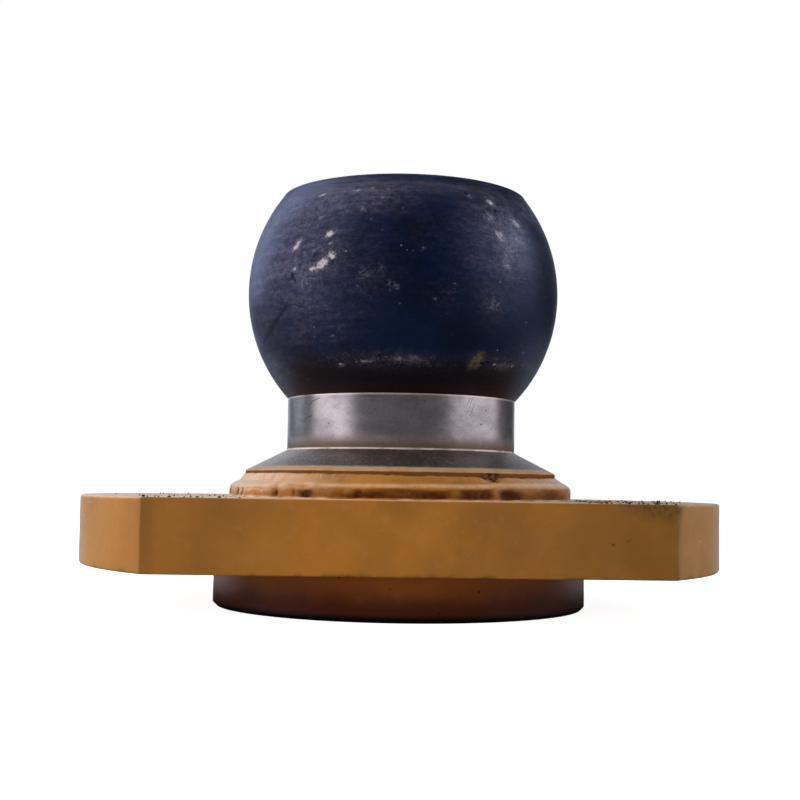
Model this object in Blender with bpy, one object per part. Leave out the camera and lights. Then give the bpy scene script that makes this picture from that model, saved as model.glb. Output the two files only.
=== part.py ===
"""Dozer trunnion: a turned ball stud welded into a thick plate with two flats.

Blender 4.5, metres, +Z up the ball's axis. The origin is the middle of the spigot's
base, on which the part stands, and the plate's two flats face -Y and +Y.
"""

import math

import bmesh
import bpy
from mathutils import Vector

# Ball, with its centre measured from the plate's top face
BALL_DIAMETER = 0.190
BALL_CENTRE_ABOVE_PLATE = 0.1244
BALL_FLAT_ABOVE_CENTRE = 0.0590
BALL_RIM_BREAK = 0.0006

# Neck and collar, with their heights measured from the plate's top face
NECK_DIAMETER = 0.1390
NECK_FOOT_ABOVE_PLATE = 0.0283
COLLAR_DIAMETER = 0.1884
COLLAR_EDGE_ABOVE_PLATE = 0.0163
COLLAR_LIP_FACE = 0.0016
COLLAR_EDGE_ROUND = 0.0006
TOOL_NOSE_RADIUS = 0.0012

# Spigot that stands out under the plate, with its shoulder let into a counterbore there
SPIGOT_DIAMETER = 0.2240
SPIGOT_BELOW_PLATE = 0.0253
SPIGOT_LET_IN = 0.0030
SPIGOT_CHAMFER = 0.0020
SPIGOT_TOP_BREAK = 0.0004

# Lathe centre holes in both ends of the stud
CENTRE_HOLE_MOUTH = 0.0120
CENTRE_HOLE_PILOT = 0.0050
CENTRE_HOLE_DEPTH = 0.0130
CENTRE_HOLE_ANGLE = math.radians(60)

# Plate
PLATE_DIAMETER = 0.3800
PLATE_ACROSS_FLATS = 0.2620
PLATE_THICKNESS = 0.0390
PLATE_EDGE_BREAK = 0.0010

# Weld ring: how far each of its two passes reaches, and how round it stands
WELD_LEG_ON_PLATE = 0.0108
UPPER_PASS_REACH = 0.0041
UPPER_PASS_FOOT = 0.0097
UPPER_PASS_BULGE = 0.0004
LOWER_PASS_BULGE = 0.0026

# The welder's hand, as waves along each pass: waves in a turn, height and phase
WELD_WAVES = ((7, 0.00022, 0.6), (19, 0.00026, 2.1), (43, 0.00018, 4.0))

# Where the lower pass was stopped and begun again, and the crater that ends the upper pass
STOP_ANGLES = tuple(math.radians(degrees) for degrees in (-155, -137, -125, -60, 12, 84, 133))
STOP_DIP = 0.0008
CRATER_ANGLES = (math.radians(-63),)
CRATER_DEPTH = 0.0012
DIP_HALF_WIDTH = math.radians(2.4)

# Clearance between neighbouring pieces
FIT_GAP = 0.0003

# How finely round shapes are divided
TURNED_STEPS = 80
BALL_STEPS = 22
ROUND_STEPS = 3
PLATE_END_STEPS = 26
EDGE_BREAK_STEPS = 2
WELD_STEPS = 180
PASS_STEPS = 5
SHARPEST_SMOOTHED = math.radians(50)

FULL_TURN = 2 * math.pi
PLATE_UNDERSIDE = SPIGOT_BELOW_PLATE
PLATE_TOP = PLATE_UNDERSIDE + PLATE_THICKNESS
COUNTERBORE_FLOOR = PLATE_UNDERSIDE + SPIGOT_LET_IN


def clear_scene():
    for old in list(bpy.data.objects):
        bpy.data.objects.remove(old, do_unlink=True)


def painted(name, colour, roughness, metallic):
    """A plain material of the piece's own colour and sheen."""
    material = bpy.data.materials.new(name)
    material.use_nodes = True
    shader = material.node_tree.nodes["Principled BSDF"]
    shader.inputs["Base Color"].default_value = (*colour, 1.0)
    shader.inputs["Roughness"].default_value = roughness
    shader.inputs["Metallic"].default_value = metallic
    return material


def add_object(name, mesh, material=None):
    piece = bpy.data.objects.new(name, mesh)
    bpy.context.scene.collection.objects.link(piece)
    if material is not None:
        mesh.materials.append(material)
    return piece


def mesh_from(form, name):
    mesh = bpy.data.meshes.new(name)
    form.to_mesh(mesh)
    form.free()
    return mesh


def rounded_corner(before, corner, after, radius):
    """The arc that joins two straight runs of an outline, tangent to both."""
    towards_before = (before - corner).normalized()
    towards_after = (after - corner).normalized()
    half_angle = towards_before.angle(towards_after) / 2
    reach = radius / math.tan(half_angle)
    middle = (towards_before + towards_after).normalized()
    centre = corner + middle * radius / math.sin(half_angle)
    first = (corner + towards_before * reach - centre).normalized()
    last = (corner + towards_after * reach - centre).normalized()
    return [centre + radius * first.slerp(last, step / ROUND_STEPS) for step in range(ROUND_STEPS + 1)]


def centre_hole(face_height, into):
    """A centre hole from its pilot's bottom on the axis out to its mouth. into is -1 or +1 along Z."""
    mouth = CENTRE_HOLE_MOUTH / 2
    pilot = CENTRE_HOLE_PILOT / 2
    cone_depth = (mouth - pilot) / math.tan(CENTRE_HOLE_ANGLE / 2)
    drill_point = pilot / 2
    return [
        Vector((0.0, face_height + into * CENTRE_HOLE_DEPTH)),
        Vector((pilot, face_height + into * (CENTRE_HOLE_DEPTH - drill_point))),
        Vector((pilot, face_height + into * cone_depth)),
        Vector((mouth, face_height)),
    ]


def ball_outline(centre_height, neck_radius):
    """The ball from the rim of its flat top, round its widest, down to where it meets the neck."""
    radius = BALL_DIAMETER / 2
    rim_angle = math.asin((BALL_FLAT_ABOVE_CENTRE - BALL_RIM_BREAK) / radius)
    neck_angle = -math.acos(neck_radius / radius)
    points = []
    for step in range(BALL_STEPS + 1):
        angle = rim_angle + (neck_angle - rim_angle) * step / BALL_STEPS
        points.append(Vector((radius * math.cos(angle), centre_height + radius * math.sin(angle))))
    return points


def trunnion_outline():
    """Radius and height of the turned stud, from the centre hole in its top to the one in its base."""
    ball_centre = PLATE_TOP + BALL_CENTRE_ABOVE_PLATE
    top = ball_centre + BALL_FLAT_ABOVE_CENTRE
    neck = NECK_DIAMETER / 2
    collar = COLLAR_DIAMETER / 2
    spigot = SPIGOT_DIAMETER / 2
    shoulder_height = COUNTERBORE_FLOOR - FIT_GAP
    neck_foot = PLATE_TOP + NECK_FOOT_ABOVE_PLATE
    collar_edge = PLATE_TOP + COLLAR_EDGE_ABOVE_PLATE

    ball = ball_outline(ball_centre, neck)
    foot = Vector((neck, neck_foot))
    edge = Vector((collar, collar_edge))
    shoulder = Vector((collar, shoulder_height))
    outline = centre_hole(top, -1)
    outline.append(Vector((ball[0].x - BALL_RIM_BREAK, top)))
    outline += ball
    outline += rounded_corner(ball[-1], foot, edge, TOOL_NOSE_RADIUS)
    outline += rounded_corner(foot, edge, shoulder, COLLAR_EDGE_ROUND)
    outline += [
        shoulder,
        Vector((spigot - SPIGOT_TOP_BREAK, shoulder_height)),
        Vector((spigot, shoulder_height - SPIGOT_TOP_BREAK)),
        Vector((spigot, SPIGOT_CHAMFER)),
        Vector((spigot - SPIGOT_CHAMFER, 0.0)),
    ]
    outline += reversed(centre_hole(0.0, 1))
    return outline


def make_trunnion():
    """The forged and turned stud: the outline above, swept once round the axis."""
    form = bmesh.new()
    corners = [form.verts.new((point.x, 0.0, point.y)) for point in trunnion_outline()]
    for upper, lower in zip(corners, corners[1:]):
        form.edges.new((upper, lower))
    steel = painted("oxidised_forging", (0.035, 0.040, 0.065), 0.45, 0.60)
    trunnion = add_object("trunnion_ball", mesh_from(form, "trunnion_ball"), steel)

    turn = trunnion.modifiers.new("turned", "SCREW")
    turn.axis = "Z"
    turn.angle = FULL_TURN
    turn.steps = TURNED_STEPS
    turn.render_steps = TURNED_STEPS
    turn.use_merge_vertices = True
    turn.merge_threshold = 0.00001
    turn.use_smooth_shade = True
    return trunnion


def plate_end(middle_angle, half_width):
    """Points of one round end of the plate, which spans half_width to each side of middle_angle."""
    radius = PLATE_DIAMETER / 2
    points = []
    for step in range(PLATE_END_STEPS + 1):
        angle = middle_angle + half_width * (2 * step / PLATE_END_STEPS - 1)
        points.append((radius * math.cos(angle), radius * math.sin(angle), PLATE_UNDERSIDE))
    return points


def make_plate():
    """The profile-cut plate: a disc with two flats, its edges dressed, with a stepped bore for the stud."""
    half_end = math.asin(PLATE_ACROSS_FLATS / PLATE_DIAMETER)
    form = bmesh.new()
    outline = plate_end(0.0, half_end) + plate_end(math.pi, half_end)
    base = form.faces.new([form.verts.new(point) for point in outline])
    raised = bmesh.ops.extrude_face_region(form, geom=[base])["geom"]
    top_corners = [corner for corner in raised if isinstance(corner, bmesh.types.BMVert)]
    bmesh.ops.translate(form, verts=top_corners, vec=(0.0, 0.0, PLATE_THICKNESS))
    bmesh.ops.recalc_face_normals(form, faces=form.faces)
    paint = painted("ochre_paint", (0.330, 0.155, 0.045), 0.50, 0.0)
    plate = add_object("mounting_plate", mesh_from(form, "mounting_plate"), paint)

    dressed = plate.modifiers.new("dressed_edges", "BEVEL")
    dressed.limit_method = "ANGLE"
    dressed.angle_limit = half_end / 2
    dressed.width = PLATE_EDGE_BREAK
    dressed.segments = EDGE_BREAK_STEPS

    bore_plate(plate, "bore", COLLAR_DIAMETER, PLATE_TOP + PLATE_THICKNESS / 2)
    bore_plate(plate, "counterbore", SPIGOT_DIAMETER, COUNTERBORE_FLOOR)
    return plate


def bore_plate(plate, name, stud_diameter, ends_at):
    """Bores the plate from below up to ends_at, as wide as the stud is there and its clearance."""
    starts_at = PLATE_UNDERSIDE - PLATE_THICKNESS / 2
    depth = ends_at - starts_at
    form = bmesh.new()
    bmesh.ops.create_cone(
        form,
        cap_ends=True,
        segments=TURNED_STEPS,
        radius1=stud_diameter / 2 + FIT_GAP,
        radius2=stud_diameter / 2 + FIT_GAP,
        depth=depth,
    )
    cutter = add_object(name + "_cutter", mesh_from(form, name + "_cutter"))
    cutter.location.z = starts_at + depth / 2
    cutter.hide_render = True
    cutter.display_type = "WIRE"

    cut = plate.modifiers.new(name, "BOOLEAN")
    cut.operation = "DIFFERENCE"
    cut.solver = "EXACT"
    cut.object = cutter


def pass_waviness(angle):
    """How far a weld pass stands out of its mean form at one angle round the ring."""
    return sum(height * math.sin(count * angle + phase) for count, height, phase in WELD_WAVES)


def dip(angle, centres):
    """A bell-shaped dip at each of these angles: 1 at its middle, and 0 away from it."""
    depth = 0.0
    for centre in centres:
        offset = math.remainder(angle - centre, FULL_TURN)
        depth += math.exp(-((offset / DIP_HALF_WIDTH) ** 2))
    return depth


def bead(start, end, bulge):
    """A bead up from its lower toe to its upper: the chord, pushed out by a half sine of height bulge."""
    along = end - start
    outwards = Vector((along.y, -along.x)).normalized()
    points = []
    for step in range(PASS_STEPS + 1):
        share = step / PASS_STEPS
        points.append(start + along * share + outwards * bulge * math.sin(math.pi * share))
    return points


def weld_section(angle):
    """Radius and height of the weld's closed section: up the collar, down both passes and back under."""
    waviness = pass_waviness(angle)
    lower_bulge = LOWER_PASS_BULGE + waviness - STOP_DIP * dip(angle, STOP_ANGLES)
    upper_bulge = UPPER_PASS_BULGE - CRATER_DEPTH * dip(angle, CRATER_ANGLES)
    collar = COLLAR_DIAMETER / 2 + FIT_GAP
    base = PLATE_TOP + FIT_GAP
    upper_toe = Vector((collar, PLATE_TOP + COLLAR_EDGE_ABOVE_PLATE - COLLAR_LIP_FACE))
    between = Vector((collar + UPPER_PASS_REACH + waviness, PLATE_TOP + UPPER_PASS_FOOT))
    plate_toe = Vector((collar + WELD_LEG_ON_PLATE + waviness, base))
    lower = bead(plate_toe, between, lower_bulge)
    upper = bead(between, upper_toe, upper_bulge)
    return [Vector((collar, base)), *lower, *upper[1:]]


def make_weld():
    """The ring weld round the collar: its section laid at each angle, and joined to the next."""
    form = bmesh.new()
    rings = []
    for step in range(WELD_STEPS):
        angle = FULL_TURN * step / WELD_STEPS
        ring = []
        for point in weld_section(angle):
            ring.append(form.verts.new((point.x * math.cos(angle), point.x * math.sin(angle), point.y)))
        rings.append(ring)
    for this, following in zip(rings, rings[1:] + rings[:1]):
        for corner in range(len(this)):
            after = (corner + 1) % len(this)
            form.faces.new((this[corner], following[corner], following[after], this[after]))
    bmesh.ops.recalc_face_normals(form, faces=form.faces)
    paint = painted("painted_weld", (0.420, 0.220, 0.080), 0.50, 0.0)
    mesh = mesh_from(form, "collar_weld")
    mesh.shade_smooth()
    mesh.set_sharp_from_angle(angle=SHARPEST_SMOOTHED)
    return add_object("collar_weld", mesh, paint)


clear_scene()
make_trunnion()
make_plate()
make_weld()
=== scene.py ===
"""Dozer trunnion: a turned ball stud, ring-welded through a thick painted plate with two flats.

Metres, +Z up the ball's axis, and the spigot's base on the floor at the origin.
"""

import math

import bpy
import numpy as np
from mathutils import Matrix, Vector


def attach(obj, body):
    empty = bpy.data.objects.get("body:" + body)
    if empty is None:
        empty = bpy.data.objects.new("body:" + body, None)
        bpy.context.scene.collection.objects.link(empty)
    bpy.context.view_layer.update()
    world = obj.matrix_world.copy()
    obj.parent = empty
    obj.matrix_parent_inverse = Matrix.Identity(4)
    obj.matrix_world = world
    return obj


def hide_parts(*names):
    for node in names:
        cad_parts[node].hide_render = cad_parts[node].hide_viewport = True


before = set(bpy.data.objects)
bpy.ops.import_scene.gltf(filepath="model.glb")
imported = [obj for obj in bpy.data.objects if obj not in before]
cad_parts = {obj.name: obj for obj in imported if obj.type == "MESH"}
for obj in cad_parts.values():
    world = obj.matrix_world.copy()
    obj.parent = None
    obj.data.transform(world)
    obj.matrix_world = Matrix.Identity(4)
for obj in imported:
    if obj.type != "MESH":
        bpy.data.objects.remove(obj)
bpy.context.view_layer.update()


# Camera: in front of the plate's long flat and a little to its left, just above the plate's top, and tilted
# up at the ball.
CAMERA_PLACE = (-0.03855, -0.77371, 0.07188)
CAMERA_LENS = 56.67
SENSOR_WIDTH = 36.0
NEAREST_SEEN = 0.01
CAMERA_AZIMUTH = math.radians(2.787)
CAMERA_PITCH = math.radians(3.897)
CAMERA_ROLL = math.radians(0.909)


def add_object(name, data):
    """An object with this data, linked into the scene."""
    made = bpy.data.objects.new(name, data)
    bpy.context.scene.collection.objects.link(made)
    return made


def camera_turn(azimuth, pitch, roll):
    """The camera's turn: forwards by azimuth and pitch, and its sides rolled about that line."""
    flat = math.cos(pitch)
    forwards = Vector((flat * math.sin(azimuth), flat * math.cos(azimuth), math.sin(pitch)))
    level = Vector((math.cos(azimuth), -math.sin(azimuth), 0.0))
    upright = level.cross(forwards)
    right = math.cos(roll) * level + math.sin(roll) * upright
    up = -math.sin(roll) * level + math.cos(roll) * upright
    return Matrix((right, up, -forwards)).transposed()


camera = add_object("camera", bpy.data.cameras.new("camera"))
camera.data.lens = CAMERA_LENS
camera.data.sensor_width = SENSOR_WIDTH
camera.data.sensor_fit = "HORIZONTAL"
camera.data.clip_start = NEAREST_SEEN
camera_way = camera_turn(CAMERA_AZIMUTH, CAMERA_PITCH, CAMERA_ROLL)
camera.matrix_world = Matrix.Translation(CAMERA_PLACE) @ camera_way.to_4x4()
bpy.context.scene.camera = camera
bpy.context.scene.view_settings.view_transform = "Standard"


# Mounting plate: 39 mm steel plate, flame cut to a disc with two flats, its edges dressed and its bore
# stepped for the stud, then painted ochre with the weld on it.
PLATE_RADIUS = 0.190
PLATE_HALF_FLATS = 0.131
PLATE_UNDERSIDE = 0.0253
PLATE_TOP = 0.0643
PLATE_CORNER = 0.0013
BORE_RADIUS = 0.0945
COUNTERBORE_RADIUS = 0.1123
COUNTERBORE_FLOOR = 0.0283
# For the four runs of each half of the outline, which are the round end, a corner, the flat and a corner:
# the points along it, how far its top and bottom edges are broken, and how far its top edge is lightened,
# as rubbed paint and as a painted highlight
OUTLINE_RUNS = (262, 5, 250, 5)
EDGE_BREAKS = (0.0015, 0.0010, 0.0007, 0.0010)
TOP_EDGE_LIGHTENING = (1.0, 1.0, 0.12, 1.0)
# How far the wall is lightened down its corners, and each point in turn from the wall over the top edge,
# as rubbed paint and as a painted highlight
CORNER_LIGHTENING = 0.30
LIGHTENING_OVER_EDGE = (0.0, 0.25, 0.8, 1.0, 1.0, 0.6)
BREAK_STEPS = 5
WALL_STEPS = 30
TOP_STEPS = 25
UNDERSIDE_STEPS = 10
# The cut wall's unevenness: bumps' length along and across in cells, seed, and height
WALL_WANDER = ((6, 4, 11, 0.00003), (40, 14, 12, 0.00004))
# Its top edge's own: bumps' length along, seed, and height, and how far down the wall it reaches
TOP_EDGE_WANDER = (9, 13, 0.00006)
TOP_EDGE_REACH = 0.0012
LEAST_INSET = 0.00012


def by_run(values):
    """These four values, one for each run of half the outline, spread over all its points."""
    return np.repeat(np.tile(values, 2), np.tile(OUTLINE_RUNS, 2))


def plate_outline():
    """Points and outward normals round the plate: an end's arc, a small round where it meets the flat, the
    flat and a round again, then the same half turned by half a turn."""
    radius, flat, corner = PLATE_RADIUS, PLATE_HALF_FLATS, PLATE_CORNER
    arc_steps, corner_steps, flat_steps, _ = OUTLINE_RUNS
    corner_x = math.sqrt((radius - corner) ** 2 - (flat - corner) ** 2)
    reach = math.atan2(flat - corner, corner_x)
    end = np.linspace(-reach, reach, arc_steps, endpoint=False)
    into_flat = np.linspace(reach, math.pi / 2, corner_steps, endpoint=False)
    out_of_flat = np.linspace(math.pi / 2, math.pi - reach, corner_steps, endpoint=False)
    run = np.linspace(corner_x, -corner_x, flat_steps, endpoint=False)
    facing = np.concatenate([end, into_flat, np.full(flat_steps, math.pi / 2), out_of_flat])
    normal = np.stack([np.cos(facing), np.sin(facing)], axis=1)
    centre = np.concatenate([
        np.zeros((arc_steps, 2)),
        np.tile((corner_x, flat - corner), (corner_steps, 1)),
        np.stack([run, np.zeros(flat_steps)], axis=1),
        np.tile((-corner_x, flat - corner), (corner_steps, 1)),
    ])
    half = centre + normal * np.repeat((radius, corner, flat, corner), OUTLINE_RUNS)[:, None]
    return np.concatenate([half, -half]), np.concatenate([normal, -normal])


def grain(shape, along, across, seed):
    """Even noise on a closed grid: seeded random heights, blurred by a bell curve of along by across
    cells."""
    heights = np.random.default_rng(seed).standard_normal(shape)
    rows = np.fft.fftfreq(shape[0])[:, None]
    columns = np.fft.rfftfreq(shape[1])[None, :]
    bell = np.exp(-2 * math.pi**2 * ((rows * along) ** 2 + (columns * across) ** 2))
    blurred = np.fft.irfft2(np.fft.rfft2(heights) * bell, s=shape)
    return blurred / blurred.std()


def ring_grain(steps, along, seed):
    """The same noise on a single ring of points."""
    return grain((steps, 1), along, 1, seed)[:, 0]


def unit(values):
    """The same values, kept between 0 and 1."""
    return np.clip(values, 0, 1)


def new_mesh(name, points, faces):
    """A mesh of these points and faces."""
    mesh = bpy.data.meshes.new(name)
    mesh.from_pydata(points, [], faces)
    return mesh


def ring_mesh(name, points):
    """A closed surface: points[round, section] joined to the next section, the last to the first, both
    ways."""
    around, section = points.shape[:2]
    index = np.arange(around * section).reshape(around, section)
    ahead = np.roll(index, -1, axis=0)
    quads = np.stack([index, ahead, np.roll(ahead, -1, axis=1), np.roll(index, -1, axis=1)], axis=-1)
    return new_mesh(name, points.reshape(-1, 3).tolist(), quads.reshape(-1, 4).tolist())


def mark(mesh, name, values):
    """Stores one number for each vertex of the mesh, for its material to read."""
    attribute = mesh.attributes.new(name, "FLOAT", "POINT")
    attribute.data.foreach_set("value", np.ascontiguousarray(values, dtype=np.float32).ravel())


def add_piece(mesh, materials, node, smooth_below):
    """Puts a finished piece in the scene: shaded smooth up to an angle, and riding with the part in place
    of its plain solid, where it has one."""
    mesh.shade_smooth()
    mesh.set_sharp_from_angle(angle=math.radians(smooth_below))
    piece = add_object(mesh.name, mesh)
    for material in materials:
        mesh.materials.append(material)
    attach(piece, "root")
    if node:
        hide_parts(node)


def plate_surface():
    """The plate's skin: up the outer wall, in across the top, down the stepped bore and out under the
    plate, and how much each point is lightened, as rubbed paint and as a painted highlight, which is most
    along the top edge of the two round ends, little along that of the flats, and some down the corners. The
    wall wavers, as a flame-cut edge does."""
    outline, normal = plate_outline()
    around = len(outline)
    polar = np.arctan2(outline[:, 1], outline[:, 0])
    quarter = np.linspace(0, math.pi / 2, BREAK_STEPS)
    size = by_run(EDGE_BREAKS)[:, None]
    share = np.linspace(0, 1, WALL_STEPS + 2)[1:-1]
    wall = PLATE_UNDERSIDE + size + (PLATE_TOP - PLATE_UNDERSIDE - 2 * size) * share
    inset = np.concatenate([size * (1 - np.sin(quarter)), 0 * wall, size * (1 - np.cos(quarter))], axis=1)
    low = PLATE_UNDERSIDE + size * (1 - np.cos(quarter))
    height = np.concatenate([low, wall, PLATE_TOP - size * (1 - np.sin(quarter))], axis=1)
    wander = sum(grain(height.shape, *bumps) * rise for *bumps, rise in WALL_WANDER)
    along, seed, rise = TOP_EDGE_WANDER
    at_top = np.exp(-((height - PLATE_TOP) / TOP_EDGE_REACH) ** 2)
    wander += (ring_grain(around, along, seed) * rise)[:, None] * at_top
    inset = np.clip(inset + LEAST_INSET + wander, 0.0, None)
    outer = outline[:, None, :] - normal[:, None, :] * inset[..., None]
    outer = np.concatenate([outer, height[..., None]], axis=2)

    def inner(radius, level):
        """A ring of the bore, with a point on each ray from the axis to the outline."""
        return np.stack([radius * np.cos(polar), radius * np.sin(polar), np.full(around, level)], axis=1)

    def between(start, end, steps):
        """Rings on straight lines from one ring to another, without the two ends."""
        share = np.linspace(0, 1, steps + 2)[1:-1]
        return start[:, None] + (end - start)[:, None] * share[None, :, None]

    mouth = inner(BORE_RADIUS, PLATE_TOP)
    floor = inner(BORE_RADIUS, COUNTERBORE_FLOOR)
    floor_edge = inner(COUNTERBORE_RADIUS, COUNTERBORE_FLOOR)
    foot = inner(COUNTERBORE_RADIUS, PLATE_UNDERSIDE)
    rings = [outer, between(outer[:, -1], mouth, TOP_STEPS)]
    rings += [ring[:, None] for ring in (mouth, floor, floor_edge, foot)]
    rings.append(between(foot, outer[:, 0], UNDERSIDE_STEPS))
    points = np.concatenate(rings, axis=1)
    edge = np.zeros(points.shape[:2])
    wall_end = BREAK_STEPS + WALL_STEPS
    edge[:, BREAK_STEPS:wall_end] = CORNER_LIGHTENING * by_run((0, 1, 0, 1))[:, None]
    edge[:, wall_end : wall_end + len(LIGHTENING_OVER_EDGE)] = np.outer(by_run(TOP_EDGE_LIGHTENING), LIGHTENING_OVER_EDGE)
    return points, edge


class Field:
    """A number, vector or colour that varies over a surface: one output of a shader node. Arithmetic on it
    adds further nodes to the same tree."""

    def __init__(self, socket):
        self.socket = socket
        self.tree = socket.id_data

    def __add__(self, other):
        return maths("ADD", self, other)

    def __sub__(self, other):
        return maths("SUBTRACT", self, other)

    def __rsub__(self, other):
        return maths("SUBTRACT", other, self)

    def __mul__(self, other):
        return maths("MULTIPLY", self, other)

    def clamped(self):
        """The same result, kept between 0 and 1."""
        self.socket.node.use_clamp = True
        return self

    def centred(self, spread):
        """Noise about 0 instead of 0.5, spread out by so much."""
        return (self - 0.5) * spread

    def fade(self, start, end, low=0.0, high=1.0):
        """low before start, high after end, and an even curve between them."""
        inputs = {"Value": self, "From Min": start, "From Max": end, "To Min": low, "To Max": high}
        return put(self.tree, "MapRange", inputs, interpolation_type="SMOOTHSTEP")

    def vector(self, operation, other=(0.0, 0.0, 0.0), out=0):
        """One step of vector arithmetic; out is Value where it gives a number."""
        return put(self.tree, "VectorMath", {0: self, 1: other}, out, operation=operation)

    def axis(self, number):
        """One part of a vector or colour, from 0 to 2."""
        return put(self.tree, "SeparateXYZ", {0: self}, number)

    def noise(self, scale, detail=3.0, roughness=0.5, stretch=None):
        """Noise from 0 to 1 with about scale bumps to a metre, drawn out along an axis where stretch says
        so."""
        place = self.vector("MULTIPLY", stretch) if stretch else self
        inputs = {"Vector": place, "Scale": scale, "Detail": detail, "Roughness": roughness}
        return put(self.tree, "TexNoise", inputs)


def connect(value, socket):
    """Wires a field into a socket, or sets a plain value there, where a colour has three numbers."""
    if isinstance(value, Field):
        value.tree.links.new(value.socket, socket)
    elif socket.type == "RGBA":
        socket.default_value = (*value, 1.0)
    else:
        socket.default_value = value


def put(tree, kind, inputs=(), out=0, **settings):
    """Adds a node of this kind and gives the field that comes out of it there."""
    node = tree.nodes.new("ShaderNode" + kind)
    for name, value in settings.items():
        setattr(node, name, value)
    for key, value in dict(inputs).items():
        connect(value, node.inputs[key])
    return Field(node.outputs[out])


def maths(operation, first, second):
    """One step of arithmetic on two fields, or on a field and a plain number."""
    tree = first.tree if isinstance(first, Field) else second.tree
    return put(tree, "Math", {0: first, 1: second}, operation=operation)


def peak(first, second):
    """The greater of two fields at each place."""
    return maths("MAXIMUM", first, second)


def blend(share, first, second):
    """first with as much of second over it as share says."""
    return put(share.tree, "Mix", {0: share, 6: first, 7: second}, 2, data_type="RGBA")


def layered(colour, layers):
    """A colour under layers in turn, each of which is a share and the colour that it covers with."""
    for share, cover in layers:
        colour = blend(share, colour, cover)
    return colour


def stored(tree, name):
    """The number that the mesh keeps for each vertex under this name."""
    return put(tree, "Attribute", out="Fac", attribute_name=name)


def new_group(name, takes, gives):
    """An empty shader group: its tree, its inputs as fields and its outputs' sockets. takes and gives say
    the kind of each socket, or give the number that a number socket starts at."""
    tree = bpy.data.node_groups.new(name, "ShaderNodeTree")
    for direction, sockets in (("INPUT", takes), ("OUTPUT", gives)):
        for label, kind in sockets.items():
            is_named = isinstance(kind, str)
            socket_type = "NodeSocket" + (kind if is_named else "Float")
            made = tree.interface.new_socket(label, in_out=direction, socket_type=socket_type)
            if not is_named:
                made.default_value = kind
    inputs = {socket.name: Field(socket) for socket in tree.nodes.new("NodeGroupInput").outputs}
    return tree, inputs, tree.nodes.new("NodeGroupOutput").inputs


def use(tree, group, inputs):
    """Places a group in a tree and gives its outputs by name."""
    node = put(tree, "Group", inputs, node_tree=group).socket.node
    return {socket.name: Field(socket) for socket in node.outputs}


def new_material(name):
    """A material, its tree, and the place on the object, from which its formulas start."""
    material = bpy.data.materials.new(name)
    material.use_nodes = True
    return material, material.node_tree, put(material.node_tree, "TexCoord", out="Object")


def finish(material, height, distance, strength, **sockets):
    """Fills the shader's sockets with fields or plain values, and bumps its surface by a height."""
    shader = material.node_tree.nodes["Principled BSDF"]
    bump = {"Height": height, "Distance": distance, "Strength": strength}
    connect(put(material.node_tree, "Bump", bump), shader.inputs["Normal"])
    for name, value in sockets.items():
        connect(value, shader.inputs[name.replace("_", " ")])
    return material


def make_enamel_group():
    """Sprayed enamel: its colour drifts over hand-sized patches, turns lighter where its Edge input says, as
    rubbed paint and as painted highlights, and its gloss and skin are uneven."""
    kinds = {"Place": "Vector", "Edge": 0.0}
    kinds.update({name: "Color" for name in ("Colour", "Dull colour", "Edge colour")})
    results = {"Colour": "Color", "Roughness": "Float", "Height": "Float"}
    tree, takes, gives = new_group("enamel", kinds, results)
    place = takes["Place"]
    mist = place.noise(190.0, 3.0, 0.6)
    drift = place.noise(16.0, 4.0, 0.6).fade(0.32, 0.70, 0.12, 0.80)
    colour = layered(takes["Colour"], [
        (drift, takes["Dull colour"]),
        (mist.fade(0.52, 0.80, 0.0, 0.11), takes["Edge colour"]),
        (takes["Edge"] * place.noise(120.0, 4.0, 0.7).fade(0.30, 0.62, 0.25, 0.9), takes["Edge colour"]),
    ])
    connect(colour, gives["Colour"])
    connect(mist.fade(0.3, 0.75, 0.40, 0.56), gives["Roughness"])
    connect(place.noise(650.0, 2.0) * 0.6 + mist * 0.7, gives["Height"])
    return tree


def make_specks_group():
    """Small scattered specks: rounded cells of one size, of which only a share is kept."""
    kinds = {"Place": "Vector", "Cells to a metre": 300.0, "Share": 0.1, "Size": 0.3}
    tree, takes, gives = new_group("specks", kinds, {"Mask": "Float"})
    inputs = {"Vector": takes["Place"], "Scale": takes["Cells to a metre"], "Randomness": 1.0}
    distance = put(tree, "TexVoronoi", inputs, "Distance")
    lots = Field(distance.socket.node.outputs["Color"])
    kept = maths("LESS_THAN", lots.axis(0), takes["Share"])
    spot = maths("DIVIDE", distance, takes["Size"] * lots.axis(1)).fade(1.0, 0.55)
    connect(kept * spot, gives["Mask"])
    return tree


ENAMEL = make_enamel_group()
SPECKS = make_specks_group()
OCHRE = (0.610, 0.222, 0.016)
OCHRE_DULL = (0.300, 0.124, 0.012)
OCHRE_LIGHT = (0.850, 0.540, 0.300)
STAIN = (0.060, 0.046, 0.010)
DUST = (0.400, 0.300, 0.205)
PALE_SHEEN = (0.820, 0.660, 0.520)
OCHRE_SHEEN = (0.800, 0.520, 0.250)
SPECK_BROWN = (0.050, 0.020, 0.006)
# Single marks in the enamel: where each is, and its radius
PLATE_PITS = (
    ((0.1034, -0.131, 0.0433), 0.0011), ((0.1106, -0.131, 0.0452), 0.0006),
    ((0.1122, -0.131, 0.0456), 0.0005),
)
PLATE_NICKS = (
    ((0.1551, -0.1098, 0.0447), 0.0008), ((-0.1715, -0.0818, 0.0606), 0.0008),
    ((-0.1728, -0.0790, 0.0605), 0.0008), ((-0.1741, -0.0761, 0.0604), 0.0007),
)
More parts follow.
